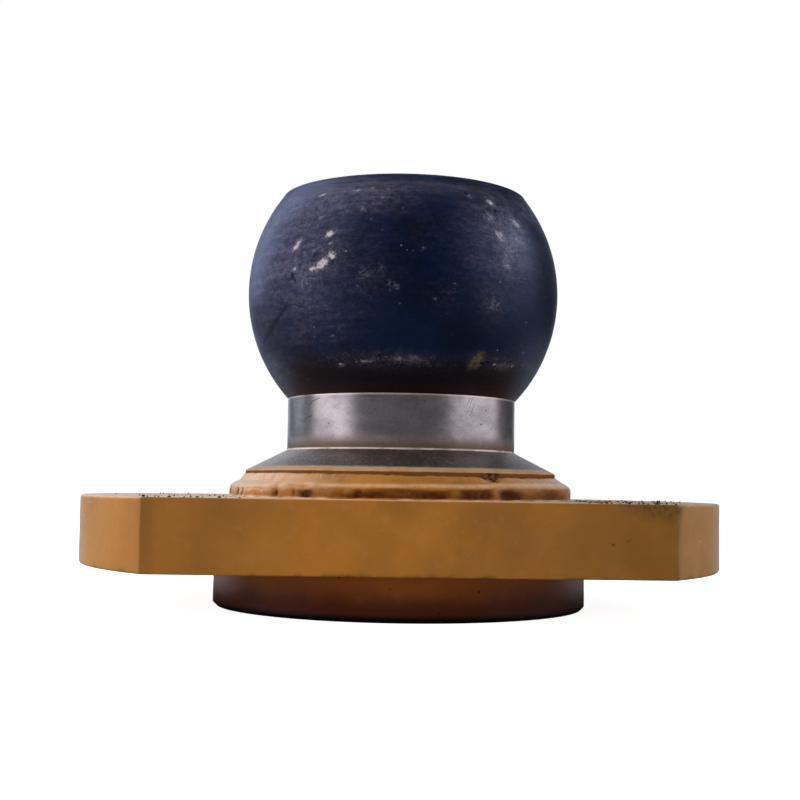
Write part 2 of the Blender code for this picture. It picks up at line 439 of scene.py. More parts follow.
# Soft patches on the plate: how strong each is, its centre, its three half sizes and how sharply it ends
STAINED_PATCHES = (
    (1.00, (0.130, -0.131, 0.0632), (0.017, 0.004, 0.0070), 3.0),
    (0.35, (0.136, -0.131, 0.0560), (0.007, 0.002, 0.0100), 2.0),
    (0.70, (0.128, -0.128, 0.0643), (0.016, 0.006, 0.002), 2.0),
    (0.60, (-0.118, -0.128, 0.0643), (0.016, 0.005, 0.001), 2.0),
    (0.95, (0.125, -0.060, 0.0643), (0.075, 0.110, 0.001), 2.0),
)
# Darker patches towards the front face's corners, partly dull paint and partly painted shade
DULL_AND_SHADED_PATCHES = (
    (0.75, (0.115, -0.131, 0.045), (0.062, 0.004, 0.045), 3.0),
    (1.00, (0.137, -0.131, 0.046), (0.024, 0.0016, 0.040), 3.0),
    (0.40, (-0.112, -0.131, 0.045), (0.034, 0.004, 0.040), 3.0),
    (0.65, (-0.137, -0.131, 0.046), (0.007, 0.0014, 0.040), 3.0),
)
# A patch on the top before the weld where the painted pale sheen is held off
SHEEN_HELD_OFF_PATCHES = ((0.75, (0.0, -0.125, 0.0643), (0.100, 0.024, 0.002), 4.0),)
LOWER_EDGE_DIRT = 0.0014
DUST_DEPTH = 0.0001


def specks(place, cells, share, size):
    """The mask of scattered specks, with so many cells to a metre."""
    inputs = {"Place": place, "Cells to a metre": cells, "Share": share, "Size": size}
    return use(place.tree, SPECKS, inputs)["Mask"]


def enamel(place, edge):
    """The plate's ochre enamel, lighter where edge says so, as rubbed paint and as painted highlights."""
    colours = {"Colour": OCHRE, "Dull colour": OCHRE_DULL, "Edge colour": OCHRE_LIGHT}
    return use(place.tree, ENAMEL, {"Place": place, "Edge": edge, **colours})


def spots(place, marks):
    """All of these round marks as one mask."""
    total = 0.0
    for centre, radius in marks:
        distance = place.vector("DISTANCE", centre, "Value")
        total = peak(total, distance.fade(radius, radius * 0.4))
    return total


def patches(points, marks):
    """Soft patches, added up: each is strongest at its centre and falls off by its three half sizes."""
    total = 0.0
    for strength, centre, size, sharpness in marks:
        offset = (points - np.array(centre)) / np.array(size)
        total = total + strength * np.exp(-(np.sum(offset**2, axis=-1) ** (sharpness / 2)))
    return total


def make_plate_paint():
    """Satin ochre enamel, lighter on its edges as rubbed paint and as a painted highlight, and darker
    towards the corners of the front as dull paint and as painted shade, with dust and fallen specks on the
    top, olive stains near one corner, and a painted sheen at a grazing angle, in lighter ochre and then
    pale, which the dust takes up too and which is held off in a patch on the top before the weld."""
    material, tree, place = new_material("plate_enamel")
    # The edges lighten as rubbed paint and as a painted highlight
    paint = enamel(place, stored(tree, "edge"))
    facing = put(tree, "LayerWeight", out="Facing")
    lying = stored(tree, "dust")
    # Darker towards the front face's corners: partly dull paint, partly painted shade
    dull = stored(tree, "dull") * place.noise(22.0, 4.0, 0.6).fade(0.25, 0.65, 0.55, 1.0)
    rubbed = place.noise(40.0, 4.0, 0.6, (1.0, 1.0, 1.7)).fade(0.46, 0.80, 0.0, 0.06)
    ragged = place.noise(480.0, 5.0, 0.75, (1.0, 1.0, 0.5))
    smudge = stored(tree, "stain") * ragged.fade(0.38, 0.64, 0.40, 1.0)
    drifted = place.noise(26.0, 3.0, 0.6) + place.noise(300.0, 4.0, 0.7) * 0.35
    # The dust turns paler at a grazing angle, as a painted sheen
    dust = lying * facing.fade(0.55, 0.97, 0.35, 1.0) * drifted.fade(0.48, 0.86, 0.15, 0.95)
    # Painted sheen at a grazing angle: lighter ochre, then pale, held off in the patch before the weld
    grazing_sheen = facing.fade(0.20, 1.0, 0.0, 0.36) * place.noise(30.0).fade(0.30, 0.65, 0.5, 1.0)
    sheen = facing.fade(0.72, 1.0, 0.0, 0.50) * (1.0 - stored(tree, "sheen_held_off")).clamped()
    strewn = lying * place.noise(34.0, 4.0, 0.65).fade(0.50, 0.66, 0.0, 0.85)
    pits = peak(specks(place, 75.0, 0.05, 0.08), spots(place, PLATE_PITS))
    colour = layered(paint["Colour"], [
        (dull, OCHRE_DULL),
        (rubbed, OCHRE_LIGHT),
        (dust, blend(facing.fade(0.85, 0.99), DUST, PALE_SHEEN)),
        (grazing_sheen, OCHRE_SHEEN),
        (sheen, PALE_SHEEN),
        (smudge * 0.72, STAIN),
        (peak(specks(place, 330.0, 0.30, 0.50) * strewn, pits * 0.8), SPECK_BROWN),
        (spots(place, PLATE_NICKS), OCHRE_LIGHT),
    ])
    roughness = (paint["Roughness"] + (smudge + dust) * 0.3).clamped()
    return finish(material, paint["Height"], 0.0004, 0.5, Base_Color=colour, Roughness=roughness)


points, edge = plate_surface()
plate_mesh = ring_mesh("painted_plate", points)
on_wall = np.arange(points.shape[1]) < WALL_STEPS
lower_edge = np.exp(-(((points[..., 2] - PLATE_UNDERSIDE) / LOWER_EDGE_DIRT) ** 2)) * on_wall
stain = patches(points, STAINED_PATCHES)
stain += lower_edge * unit(1.6 * ring_grain(len(points), 2.5, 14) + 0.1)[:, None]
mark(plate_mesh, "edge", edge)
mark(plate_mesh, "sheen_held_off", patches(points, SHEEN_HELD_OFF_PATCHES))
mark(plate_mesh, "stain", unit(stain))
mark(plate_mesh, "dull", unit(patches(points, DULL_AND_SHADED_PATCHES)))
mark(plate_mesh, "dust", unit((points[..., 2] - PLATE_TOP) / DUST_DEPTH + 1.4) * (1 - 0.9 * edge))
add_piece(plate_mesh, [make_plate_paint()], "mounting_plate", 40)


# Ball stud: one steel forging turned all over. The ball's heat oxide is blue-black, scuffed and chipped;
# the neck is bare satin steel, the collar is dusty with overspray at its edge, and the spigot is brown-
# black.
TURN = 2 * math.pi
BALL_RADIUS = 0.095
BALL_HEIGHT = 0.1887
STUD_TOP = 0.2477
RIM_BREAK = 0.0006
NECK_RADIUS = 0.0695
NECK_FOOT = 0.0926
COLLAR_RADIUS = 0.0942
COLLAR_EDGE = 0.0801
COLLAR_ROUND = 0.0006
FILLET = 0.0012
SPIGOT_RADIUS = 0.112
SPIGOT_SHOULDER = 0.0280
SPIGOT_CHAMFER = 0.0020
# Radius and depth of the lathe centre in each end, from its pilot to its mouth, and its point's depth
CENTRE_HOLE = ((0.0025, 0.01175), (0.0025, 0.00606), (0.0060, 0.0))
CENTRE_HOLE_DEPTH = 0.013
BALL_ZONE, NECK_ZONE, COLLAR_ZONE, SPIGOT_ZONE = range(4)
ROUND_STEPS = 488


def line(start, end, steps):
    """Points from start up to, but without, end."""
    start, end = np.array(start), np.array(end)
    return start + (end - start) * np.linspace(0, 1, steps, endpoint=False)[:, None]


def corner_arc(before, corner, after, radius, steps):
    """The arc that joins two straight runs, tangent to both: swept between the directions to its two
    ends."""
    before, corner, after = np.array(before), np.array(corner), np.array(after)
    first = (before - corner) / np.linalg.norm(before - corner)
    last = (after - corner) / np.linalg.norm(after - corner)
    half = math.acos(np.clip(first @ last, -1, 1)) / 2
    middle = (first + last) / np.linalg.norm(first + last)
    centre = corner + middle * radius / math.sin(half)
    start, end = (corner + side * radius / math.tan(half) - centre for side in (first, last))
    turn = math.atan2(start[0] * end[1] - start[1] * end[0], start @ end)
    angle = math.atan2(start[1], start[0]) + turn * np.linspace(0, 1, steps)
    return centre + radius * np.stack([np.cos(angle), np.sin(angle)], axis=1)


def stud_profile():
    """Radius and height down the stud's outline without its two poles, and the zone that each point begins.
    The last number of each line or arc is its count of points."""
    rim = math.asin((STUD_TOP - RIM_BREAK - BALL_HEIGHT) / BALL_RADIUS)
    junction = -math.acos(NECK_RADIUS / BALL_RADIUS)
    elevation = np.linspace(rim, junction, 112)
    ball = np.stack([BALL_RADIUS * np.cos(elevation), BALL_HEIGHT + BALL_RADIUS * np.sin(elevation)], axis=1)
    foot, collar = (NECK_RADIUS, NECK_FOOT), (COLLAR_RADIUS, COLLAR_EDGE)
    shoulder, spigot = (COLLAR_RADIUS, SPIGOT_SHOULDER), (SPIGOT_RADIUS, SPIGOT_SHOULDER)
    base, mouth = (SPIGOT_RADIUS - SPIGOT_CHAMFER, 0.0), CENTRE_HOLE[-1][0]
    fillet = corner_arc(ball[-1], foot, collar, FILLET, 5)
    lip = corner_arc(foot, collar, shoulder, COLLAR_ROUND, 5)
    flat_end = (ball[0][0] - RIM_BREAK, STUD_TOP)
    rim_corner = (ball[0][0] - RIM_BREAK / 3, STUD_TOP)
    runs = [
        (BALL_ZONE, [(radius, STUD_TOP - depth) for radius, depth in CENTRE_HOLE]),
        (BALL_ZONE, line((mouth, STUD_TOP), flat_end, 12)[1:]),
        (BALL_ZONE, corner_arc((0, STUD_TOP), rim_corner, ball[1], RIM_BREAK * 0.9, 3)),
        (BALL_ZONE, ball[1:-1]),
        (NECK_ZONE, line(ball[-1], fillet[0], 18)),
        (NECK_ZONE, fillet[:-1]),
        (COLLAR_ZONE, line(fillet[-1], lip[0], 10)),
        (COLLAR_ZONE, lip[:-1]),
        (COLLAR_ZONE, line(lip[-1], shoulder, 4)),
        (SPIGOT_ZONE, line(shoulder, spigot, 3)),
        (SPIGOT_ZONE, line(spigot, (SPIGOT_RADIUS, SPIGOT_CHAMFER), 12)),
        (SPIGOT_ZONE, line((SPIGOT_RADIUS, SPIGOT_CHAMFER), base, 3)),
        (SPIGOT_ZONE, line(base, (mouth, 0.0), 12)),
        (SPIGOT_ZONE, CENTRE_HOLE[::-1]),
    ]
    zone = np.concatenate([np.full(len(run), number) for number, run in runs])
    return np.concatenate([np.asarray(run) for _, run in runs]), zone


# Marks on the ball: angle round it in degrees, then height, half width, half height and slope across, in
# millimetres and degrees, and how fully each covers. A dot or pit has no slope and covers fully.
CHIPS = (
    (-121.6, 194.0, 5.0, 2.9, 35, 1.05), (-118.0, 198.5, 2.6, 3.2, 50, 0.95),
    (-125.2, 191.8, 3.2, 1.8, 0, 0.85), (-119.5, 211.2, 3.2, 2.0, 25, 0.98),
    (-118.5, 205.5, 2.4, 1.5, 0, 0.60), (-133.3, 206.2, 4.8, 2.0, 48, 0.88),
    (-132.9, 193.0, 3.6, 1.3, 38, 0.72), (-127.8, 236.3, 3.5, 0.9, 15, 0.90),
    (-101.0, 232.0, 5.2, 0.5, 0, 0.60), (-112.0, 237.2, 3.7, 1.2, 0, 0.64),
    (-124.1, 221.4, 2.8, 1.2, 20, 0.62), (-108.4, 225.1, 2.9, 2.0, 0, 0.48),
    (-105.5, 237.8, 2.6, 1.0, 0, 0.60), (-117.8, 139.0, 2.4, 1.3, 0, 0.70),
    (-107.0, 140.6, 6.9, 1.1, 0, 0.66), (-94.0, 142.0, 3.3, 1.9, 0, 0.55),
    (-88.7, 142.1, 5.0, 2.0, 0, 0.50), (-53.3, 141.3, 2.3, 1.0, 10, 0.72),
    (-43.4, 141.6, 2.8, 1.3, 0, 0.60), (-39.3, 149.7, 2.6, 1.2, 0, 0.50), (-66.8, 235.6, 2.4, 1.6, 0, 0.58),
    (-57.5, 233.3, 3.6, 2.6, -30, 0.74), (-59.8, 223.4, 5.5, 3.6, 0, 0.56),
    (-46.9, 222.9, 6.0, 3.4, -25, 0.68), (-56.6, 213.0, 6.2, 4.0, -40, 0.66),
    (-47.9, 212.6, 6.5, 3.2, 0, 0.54), (-55.0, 195.9, 3.4, 3.6, 0, 0.60), (-53.0, 205.5, 7.0, 4.8, 0, 0.50),
    (-75.1, 182.2, 1.6, 1.1, 0, 0.50), (-82.3, 173.9, 1.4, 0.7, 0, 0.50), (-60.2, 174.2, 5.5, 3.9, 0, 0.42),
    (-64.2, 185.2, 2.0, 1.4, 0, 0.46), (-86.5, 201.7, 2.4, 2.4, 0, 0.36),
    (-105.6, 187.1, 5.1, 5.0, 0, 0.35), (-96.6, 180.4, 4.9, 3.3, 0, 0.37),
    (-100.6, 190.2, 3.9, 3.3, 0, 0.34), (-128.5, 184.5, 7.0, 6.0, 0, 0.42),
    (74.0, 205.0, 4.5, 2.0, 30, 0.80), (101.0, 168.0, 6.0, 1.6, -10, 0.60),
    (10.0, 214.0, 5.0, 3.0, 0, 0.50), (38.0, 150.0, 6.0, 1.2, 0, 0.55), (148.0, 188.0, 3.5, 2.2, 40, 0.75),
    (-176.0, 221.0, 5.0, 2.0, -15, 0.50),
)
DOTS = (
    (-127.2, 171.2, 1.3, 0.6), (-120.4, 170.5, 1.6, 0.5), (-118.8, 154.5, 1.0, 0.8),
    (-126.7, 154.0, 1.0, 0.7), (-72.8, 240.5, 0.9, 0.9), (-93.4, 225.2, 0.8, 0.8), (-43.0, 165.9, 1.6, 0.7),
    (-74.8, 155.5, 0.9, 0.7),
)
PITS = (
    (-117.4, 194.8, 0.9, 0.8), (-118.9, 197.0, 0.6, 0.7), (-56.2, 228.8, 1.0, 1.3),
    (-67.9, 236.9, 1.3, 0.9), (-59.6, 141.3, 1.5, 0.7), (-134.2, 188.9, 1.3, 2.2),
    (-133.0, 186.0, 0.7, 1.4), (-116.4, 196.4, 0.8, 0.6), (62.0, 190.0, 2.0, 1.5),
)
WORN = (
    (-125.0, 199.0, 15, 17, 0, 1.0), (-129.0, 222.0, 17, 12, 0, 0.75), (-105.0, 229.0, 16, 7, 0, 0.55),
    (-55.0, 222.0, 10, 14, -25, 1.0), (-53.0, 203.0, 11, 13, 0, 0.8), (-60.0, 175.0, 9, 8, 0, 0.55),
    (-106.0, 186.0, 13, 11, 0, 0.32), (-128.0, 172.0, 15, 7, 0, 0.5), (-100.0, 141.5, 30, 4, 0, 0.8),
    (-52.0, 142.5, 17, 4, 0, 0.8), (-78.0, 176.0, 9, 9, 0, 0.22), (-84.0, 212.0, 12, 9, 0, 0.15),
    (-20.0, 214.0, 18, 14, 0, 0.6), (60.0, 205.0, 22, 15, 0, 0.7), (95.0, 168.0, 18, 10, 0, 0.6),
    (150.0, 190.0, 16, 16, 0, 0.7),
)
# The grey-violet film, and painted highlights where the side lights would show in the ball and on its rim
HAZE_AND_HIGHLIGHTS = (
    (-152.0, 203.0, 46, 35, 0, 0.94), (-118.0, 233.0, 28, 11, 0, 0.95), (-54.0, 212.0, 20, 23, 0, 1.00),
    (-56.0, 174.0, 14, 12, 0, 0.18), (-128.0, 166.0, 24, 15, 0, 0.48), (-168.0, 160.0, 30, 22, 0, 0.52),
    (-160.0, 138.0, 20, 16, 0, 0.75), (-26.0, 142.0, 20, 16, 0, 0.55), (-30.0, 235.0, 20, 10, 0, 0.90),
    (-96.0, 239.0, 24, 5, 0, 0.55), (-72.0, 239.0, 14, 4, 0, 0.40), (-142.0, 232.0, 26, 12, 0, 1.00),
    (15.0, 205.0, 45, 35, 0, 0.70), (95.0, 190.0, 50, 40, 0, 0.80),
)
SMOKE = (
    (-128.0, 240.5, 22, 5.5, 0, 0.9), (-104.0, 239.5, 16, 4.5, 0, 0.80), (-84.0, 240.0, 14, 3.5, 0, 0.40),
    (-60.0, 236.0, 14, 7.0, 0, 0.45), (40.0, 238.0, 40, 6.0, 0, 0.8),
)
BLOTCHES = (
    (-62.6, 142.8, 5.2, 3.6, 55, 1.0), (-48.0, 141.0, 7.0, 2.6, 0, 0.5), (-90.0, 142.5, 9.0, 3.0, 0, 0.45),
    (120.0, 144.0, 12.0, 4.0, 0, 0.6),
)
BALL_MARKS = {
    "chips": CHIPS, "dots": DOTS, "pits": PITS, "smoke": SMOKE, "worn": WORN, "haze_and_highlight": HAZE_AND_HIGHLIGHTS,
    "blotch": BLOTCHES,
}
TOP_HAZE = 0.32
TOP_WEAR = 0.10
# Pale patches on the collar, painted highlights on its two sides and a weaker patch behind: angle round
# it and half width in degrees, and how strong each is
COLLAR_HIGHLIGHTS = ((-164.0, 26.0, 0.95), (-26.0, 24.0, 0.75), (85.0, 60.0, 0.55))
# Gouges and scratches: both ends, in degrees round and millimetres up, and the half width
GOUGES = (
    ((-137.5, 172.6), (-144.2, 166.1), 0.0020), ((-144.2, 166.1), (-150.9, 160.3), 0.0026),
    ((-151.6, 159.6), (-159.2, 155.8), 0.0024), ((-128.5, 170.0), (-134.0, 173.0), 0.0007),
)
SCRATCHES = (
    ((-165.7, 177.2), (-153.4, 177.6), 0.0005), ((-153.4, 177.6), (-146.0, 175.6), 0.0005),
    ((-146.0, 175.6), (-139.6, 172.2), 0.0004), ((-56.1, 189.6), (-42.0, 190.6), 0.0004),
    ((-106.5, 232.3), (-97.0, 231.6), 0.0005), ((30.0, 176.0), (48.0, 179.0), 0.0004),
    ((118.0, 214.0), (131.0, 210.0), 0.0004),
)
NECK_SCRATCHES = (
    ((-143.4, 117.9), (-140.0, 120.2), 0.0005), ((-140.0, 120.2), (-135.6, 121.6), 0.0005),
    ((-148.4, 108.2), (-144.6, 110.8), 0.0005), ((-144.6, 110.8), (-140.8, 111.6), 0.0004),
    ((-59.7, 114.4), (-56.8, 123.2), 0.0003), ((-61.0, 117.0), (-58.2, 122.5), 0.0003),
    ((-58.4, 112.0), (-55.6, 120.0), 0.0003), ((-51.9, 107.7), (-51.0, 107.7), 0.0007),
)
# Relief on the ball: how deep chips, pits and gouges are, and how high its waviness
CHIP_DEPTH = 0.00016
PIT_DEPTH = 0.00055
GOUGE_DEPTH = 0.00045
WAVINESS = 0.000025


def on_ball(azimuth, height, marks):
    """The strongest mark at each point: bell curves over the distance round the ball and up it, turned by
    the slope."""
    strongest = np.zeros(height.shape)
    for angle, level, half_width, half_height, *more in marks:
        slope, cover = more or (0.0, 1.0)
        slope = math.radians(slope)
        elevation = math.asin((level / 1000 - BALL_HEIGHT) / BALL_RADIUS)
        offset = np.angle(np.exp(1j * (azimuth - math.radians(angle))))
        sideways = offset * BALL_RADIUS * math.cos(elevation) * 1000
        upwards = (height * 1000 - level) / math.cos(elevation)
        across = (sideways * math.cos(slope) + upwards * math.sin(slope)) / half_width
        along = (upwards * math.cos(slope) - sideways * math.sin(slope)) / half_height
        strongest = np.maximum(strongest, cover * np.exp(-0.7 * (across**2 + along**2)))
    return strongest


def bell(angle, centre, half_width):
    """1 at an angle round the ring, falling off as a bell curve of its half width, in degrees."""
    offset = np.degrees(np.angle(np.exp(1j * (angle - math.radians(centre)))))
    return np.exp(-((offset / half_width) ** 2))


def bells(angle, marks):
    """The sum of the bell curves of a list of marks: place, half width and height each."""
    return sum(height * bell(angle, centre, half_width) for centre, half_width, height in marks)


def furrow(azimuth, height, start, end, half_width):
    """A straight scratch between two places: a bell curve over the distance to the line between them."""
    ends = [(math.radians(angle) * BALL_RADIUS, level / 1000) for angle, level in (start, end)]
    first, last = np.array(ends)
    run = last - first
    place = np.stack(np.broadcast_arrays(azimuth * BALL_RADIUS, height), axis=-1)
    share = np.clip((place - first) @ run / (run @ run), 0, 1)
    distance = np.linalg.norm(place - first - share[..., None] * run, axis=-1)
    return np.exp(-((distance / half_width) ** 2))


def turned_faces(sides, rings, first=0):
    """Faces of a surface turned round the axis, outward where its rings run downwards: quads between the
    rings, then triangles round a pole before the first ring and one after the last, whose points come
    last."""
    index = np.arange(sides * rings).reshape(sides, rings) + first
    ahead = np.roll(index, -1, axis=0)
    quads = np.stack([index[:, :-1], index[:, 1:], ahead[:, 1:], ahead[:, :-1]], axis=-1).reshape(-1, 4)
    pole = np.full(sides, first + sides * rings)
    cap = np.stack([pole, index[:, 0], ahead[:, 0]], axis=-1)
    base = np.stack([pole + 1, ahead[:, -1], index[:, -1]], axis=-1)
    return quads.tolist() + cap.tolist() + base.tolist()


def unroll(mesh, angle, height, count):
    """The skin laid flat as a UV map: distance round the ball's widest ring, and height. The last column of
    quads runs on past half a turn instead of jumping back."""
    corners = np.zeros(len(mesh.loops), dtype=np.int32)
    mesh.loops.foreach_get("vertex_index", corners)
    turned = np.concatenate([np.repeat(angle.ravel(), count), [0.0, 0.0]])[corners]
    level = np.concatenate([height.ravel(), [STUD_TOP, 0.0]])[corners]
    last_column = np.repeat(np.arange(ROUND_STEPS) == ROUND_STEPS - 1, 4 * (count - 1))
    turned[: len(last_column)] += TURN * ((turned[: len(last_column)] < -math.pi / 2) & last_column)
    flat = np.stack([turned * BALL_RADIUS, level], axis=1).astype(np.float32)
    mesh.uv_layers.new(name="unrolled").data.foreach_set("uv", flat.ravel())


def stud_mesh():
    """The stud's skin: its profile turned round the axis, with poles in both centre holes. On the ball,
    each point is then pressed in where it is chipped, pitted or gouged."""
    profile, zone = stud_profile()
    count = len(profile)
    angle = np.linspace(-math.pi, math.pi, ROUND_STEPS, endpoint=False)[:, None]
    radius, height = profile[:, 0], np.broadcast_to(profile[:, 1], (ROUND_STEPS, count))
    points = np.stack(np.broadcast_arrays(radius * np.cos(angle), radius * np.sin(angle), height), axis=-1)
    on_surface = (zone == BALL_ZONE) & (radius > BALL_RADIUS * 0.70)
    flat_top = (zone == BALL_ZONE) & (profile[:, 1] > STUD_TOP - 0.0004)
    fields = {name: on_ball(angle, height, marks) * on_surface for name, marks in BALL_MARKS.items()}
    fields["worn"] += TOP_WEAR * flat_top
    fields["haze_and_highlight"] += bells(angle, COLLAR_HIGHLIGHTS) * (zone == COLLAR_ZONE) + TOP_HAZE * flat_top
    gouges = np.max([furrow(angle, height, *gouge) for gouge in GOUGES], axis=0) * on_surface
    torn = 1 + 0.5 * grain(height.shape, 1.6, 1.6, 21)
    depth = CHIP_DEPTH * unit(fields["chips"] * torn) + PIT_DEPTH * fields["pits"] + GOUGE_DEPTH * gouges
    depth += WAVINESS * np.clip(grain(height.shape, 5, 2.5, 22), -2, 2) * on_surface
    points = points - (points - np.array((0, 0, BALL_HEIGHT))) / BALL_RADIUS * depth[..., None]
    points[..., 2] = np.minimum(points[..., 2], STUD_TOP)

    poles = [(0.0, 0.0, STUD_TOP - CENTRE_HOLE_DEPTH), (0.0, 0.0, CENTRE_HOLE_DEPTH)]
    faces = turned_faces(ROUND_STEPS, count)
    mesh = new_mesh("turned_stud", points.reshape(-1, 3).tolist() + poles, faces)
    ends = np.repeat((BALL_ZONE, SPIGOT_ZONE), ROUND_STEPS)
    slots = np.concatenate([np.tile(zone[:-1], ROUND_STEPS), ends]).astype(np.int32)
    mesh.polygons.foreach_set("material_index", slots)

    lengths = np.concatenate([[0], np.cumsum(np.linalg.norm(np.diff(profile, axis=0), axis=1))])
    fields["along"] = np.broadcast_to(lengths, height.shape)
    for name, values in fields.items():
        mark(mesh, name, np.concatenate([values.ravel(), [0.0, 0.0]]))
    unroll(mesh, angle, height, count)
    return mesh


def make_turning_group():
    """Lathe marks: fine lines that follow the distance along the profile, strong in some places and worn in
    others."""
    kinds = {"Place": "Vector", "Along": "Float", "Lines to a metre": 2000.0}
    tree, takes, gives = new_group("turning_marks", kinds, {"Lines": "Float"})
    inputs = {"W": takes["Along"] * takes["Lines to a metre"], "Scale": 1.0, "Detail": 2.0}
    lines = put(tree, "TexNoise", inputs, noise_dimensions="1D")
    worn = takes["Place"].noise(40.0, 3.0, 0.6, (1.0, 1.0, 3.0)).fade(0.35, 0.65)
    connect((lines - 0.5) * worn, gives["Lines"])
    return tree


def make_flaking_group():
    """A film broken into ragged islands: a soft field, cut off where coarse and fine noise outweigh it."""
    kinds = {"Place": "Vector", "Field": "Float", "Grain": 900.0, "Soft": 0.08}
    tree, takes, gives = new_group("flaking", kinds, {"Mask": "Float"})
    level = takes["Field"] + takes["Place"].noise(takes["Grain"], 5.0, 0.75).centred(3.0)
    mask = level.fade(0.52 - takes["Soft"], takes["Soft"] + 0.52)
    connect(mask * takes["Field"].fade(0.08, 0.25), gives["Mask"])
    return tree


def make_scratch_group():
    """One straight scratch on the unrolled surface: dark or light where the line between two places is
    near."""
    kinds = {"Place": "Vector", "Start": "Vector", "End": "Vector", "Half width": 0.0003}
    tree, takes, gives = new_group("scratch", kinds, {"Mask": "Float"})
    from_start = takes["Place"].vector("SUBTRACT", takes["Start"])
    run = takes["End"].vector("SUBTRACT", takes["Start"])
    ahead, length_squared = (run.vector("DOT_PRODUCT", other, "Value") for other in (from_start, run))
    share = maths("DIVIDE", ahead, length_squared).clamped()
    reached = put(tree, "VectorMath", {0: run, "Scale": share}, operation="SCALE")
    distance = from_start.vector("SUBTRACT", reached).vector("LENGTH", out="Value")
    connect(distance.fade(takes["Half width"], 0.0), gives["Mask"])
    return tree


def make_overspray_group():
    """Paint mist that thins out up a surface: full below one height, gone above another, in fine grains
    between."""
    kinds = {"Place": "Vector", "Full below": "Float", "None above": "Float", "Grains": 0.5}
    tree, takes, gives = new_group("overspray", kinds, {"Mask": "Float"})
    place = takes["Place"]
    mist = (place.axis(2) + place.noise(60.0).centred(0.0016)).fade(takes["None above"], takes["Full below"])
    grains = place.noise(2200.0, 2.0).centred(takes["Grains"]) * mist.fade(0.0, 0.3)
    connect((mist + grains).clamped(), gives["Mask"])
    return tree


TURNING = make_turning_group()
FLAKING = make_flaking_group()
SCRATCH = make_scratch_group()
OVERSPRAY = make_overspray_group()


def unrolled_place(tree):
    """The place on the UV map: distance round and height."""
    return put(tree, "UVMap", uv_map="unrolled")


def turning(place, lines):
    """The height of lathe marks, with so many lines to a metre."""
    inputs = {"Place": place, "Along": stored(place.tree, "along"), "Lines to a metre": lines}
    return use(place.tree, TURNING, inputs)["Lines"]


def flaking(place, field, size, soft):
    """The mask of a film that flakes where the field is strong."""
    inputs = {"Place": place, "Field": field, "Grain": size, "Soft": soft}
    return use(place.tree, FLAKING, inputs)["Mask"]


def overspray(place, full_below, none_above, grains):
    """The mask of paint mist up to a height."""
    inputs = {"Place": place, "Full below": full_below, "None above": none_above, "Grains": grains}
    return use(place.tree, OVERSPRAY, inputs)["Mask"]


def scratches(tree, marks):
    """All of these scratches as one mask. Each is given by its two ends, in degrees round and millimetres
    up."""
    place = unrolled_place(tree)
    total = 0.0
    for *ends, half_width in marks:
        start, end = ((math.radians(angle) * BALL_RADIUS, level / 1000, 0.0) for angle, level in ends)
        inputs = {"Place": place, "Start": start, "End": end, "Half width": half_width}
        total = peak(total, use(tree, SCRATCH, inputs)["Mask"])
    return total


OXIDE = (0.0026, 0.009, 0.040)
OXIDE_BLACK = (0.002, 0.004, 0.015)
OXIDE_TINT = (0.24, 0.50, 1.0)
HAZE_AND_HIGHLIGHT_VIOLET = (0.112, 0.095, 0.168)
OXIDE_GREY = (0.190, 0.170, 0.215)
NEAR_BLACK = (0.008, 0.004, 0.006)
RED_BROWN = (0.026, 0.007, 0.005)
SMOKE_BROWN = (0.112, 0.098, 0.106)
WORN_BROWN = (0.056, 0.041, 0.054)
TAN_BROWN = (0.160, 0.118, 0.082)
BARE_CHIP = (0.640, 0.550, 0.570)
DULL_CHIP = (0.230, 0.235, 0.330)
HOLE_BLACK = (0.004, 0.004, 0.006)
# Heights at the ball's foot between which it turns near black, and red-brown below that
FOOT_DARKENING = (0.1460, 0.1370)
FOOT_REDDENING = (0.1300, 0.1262)


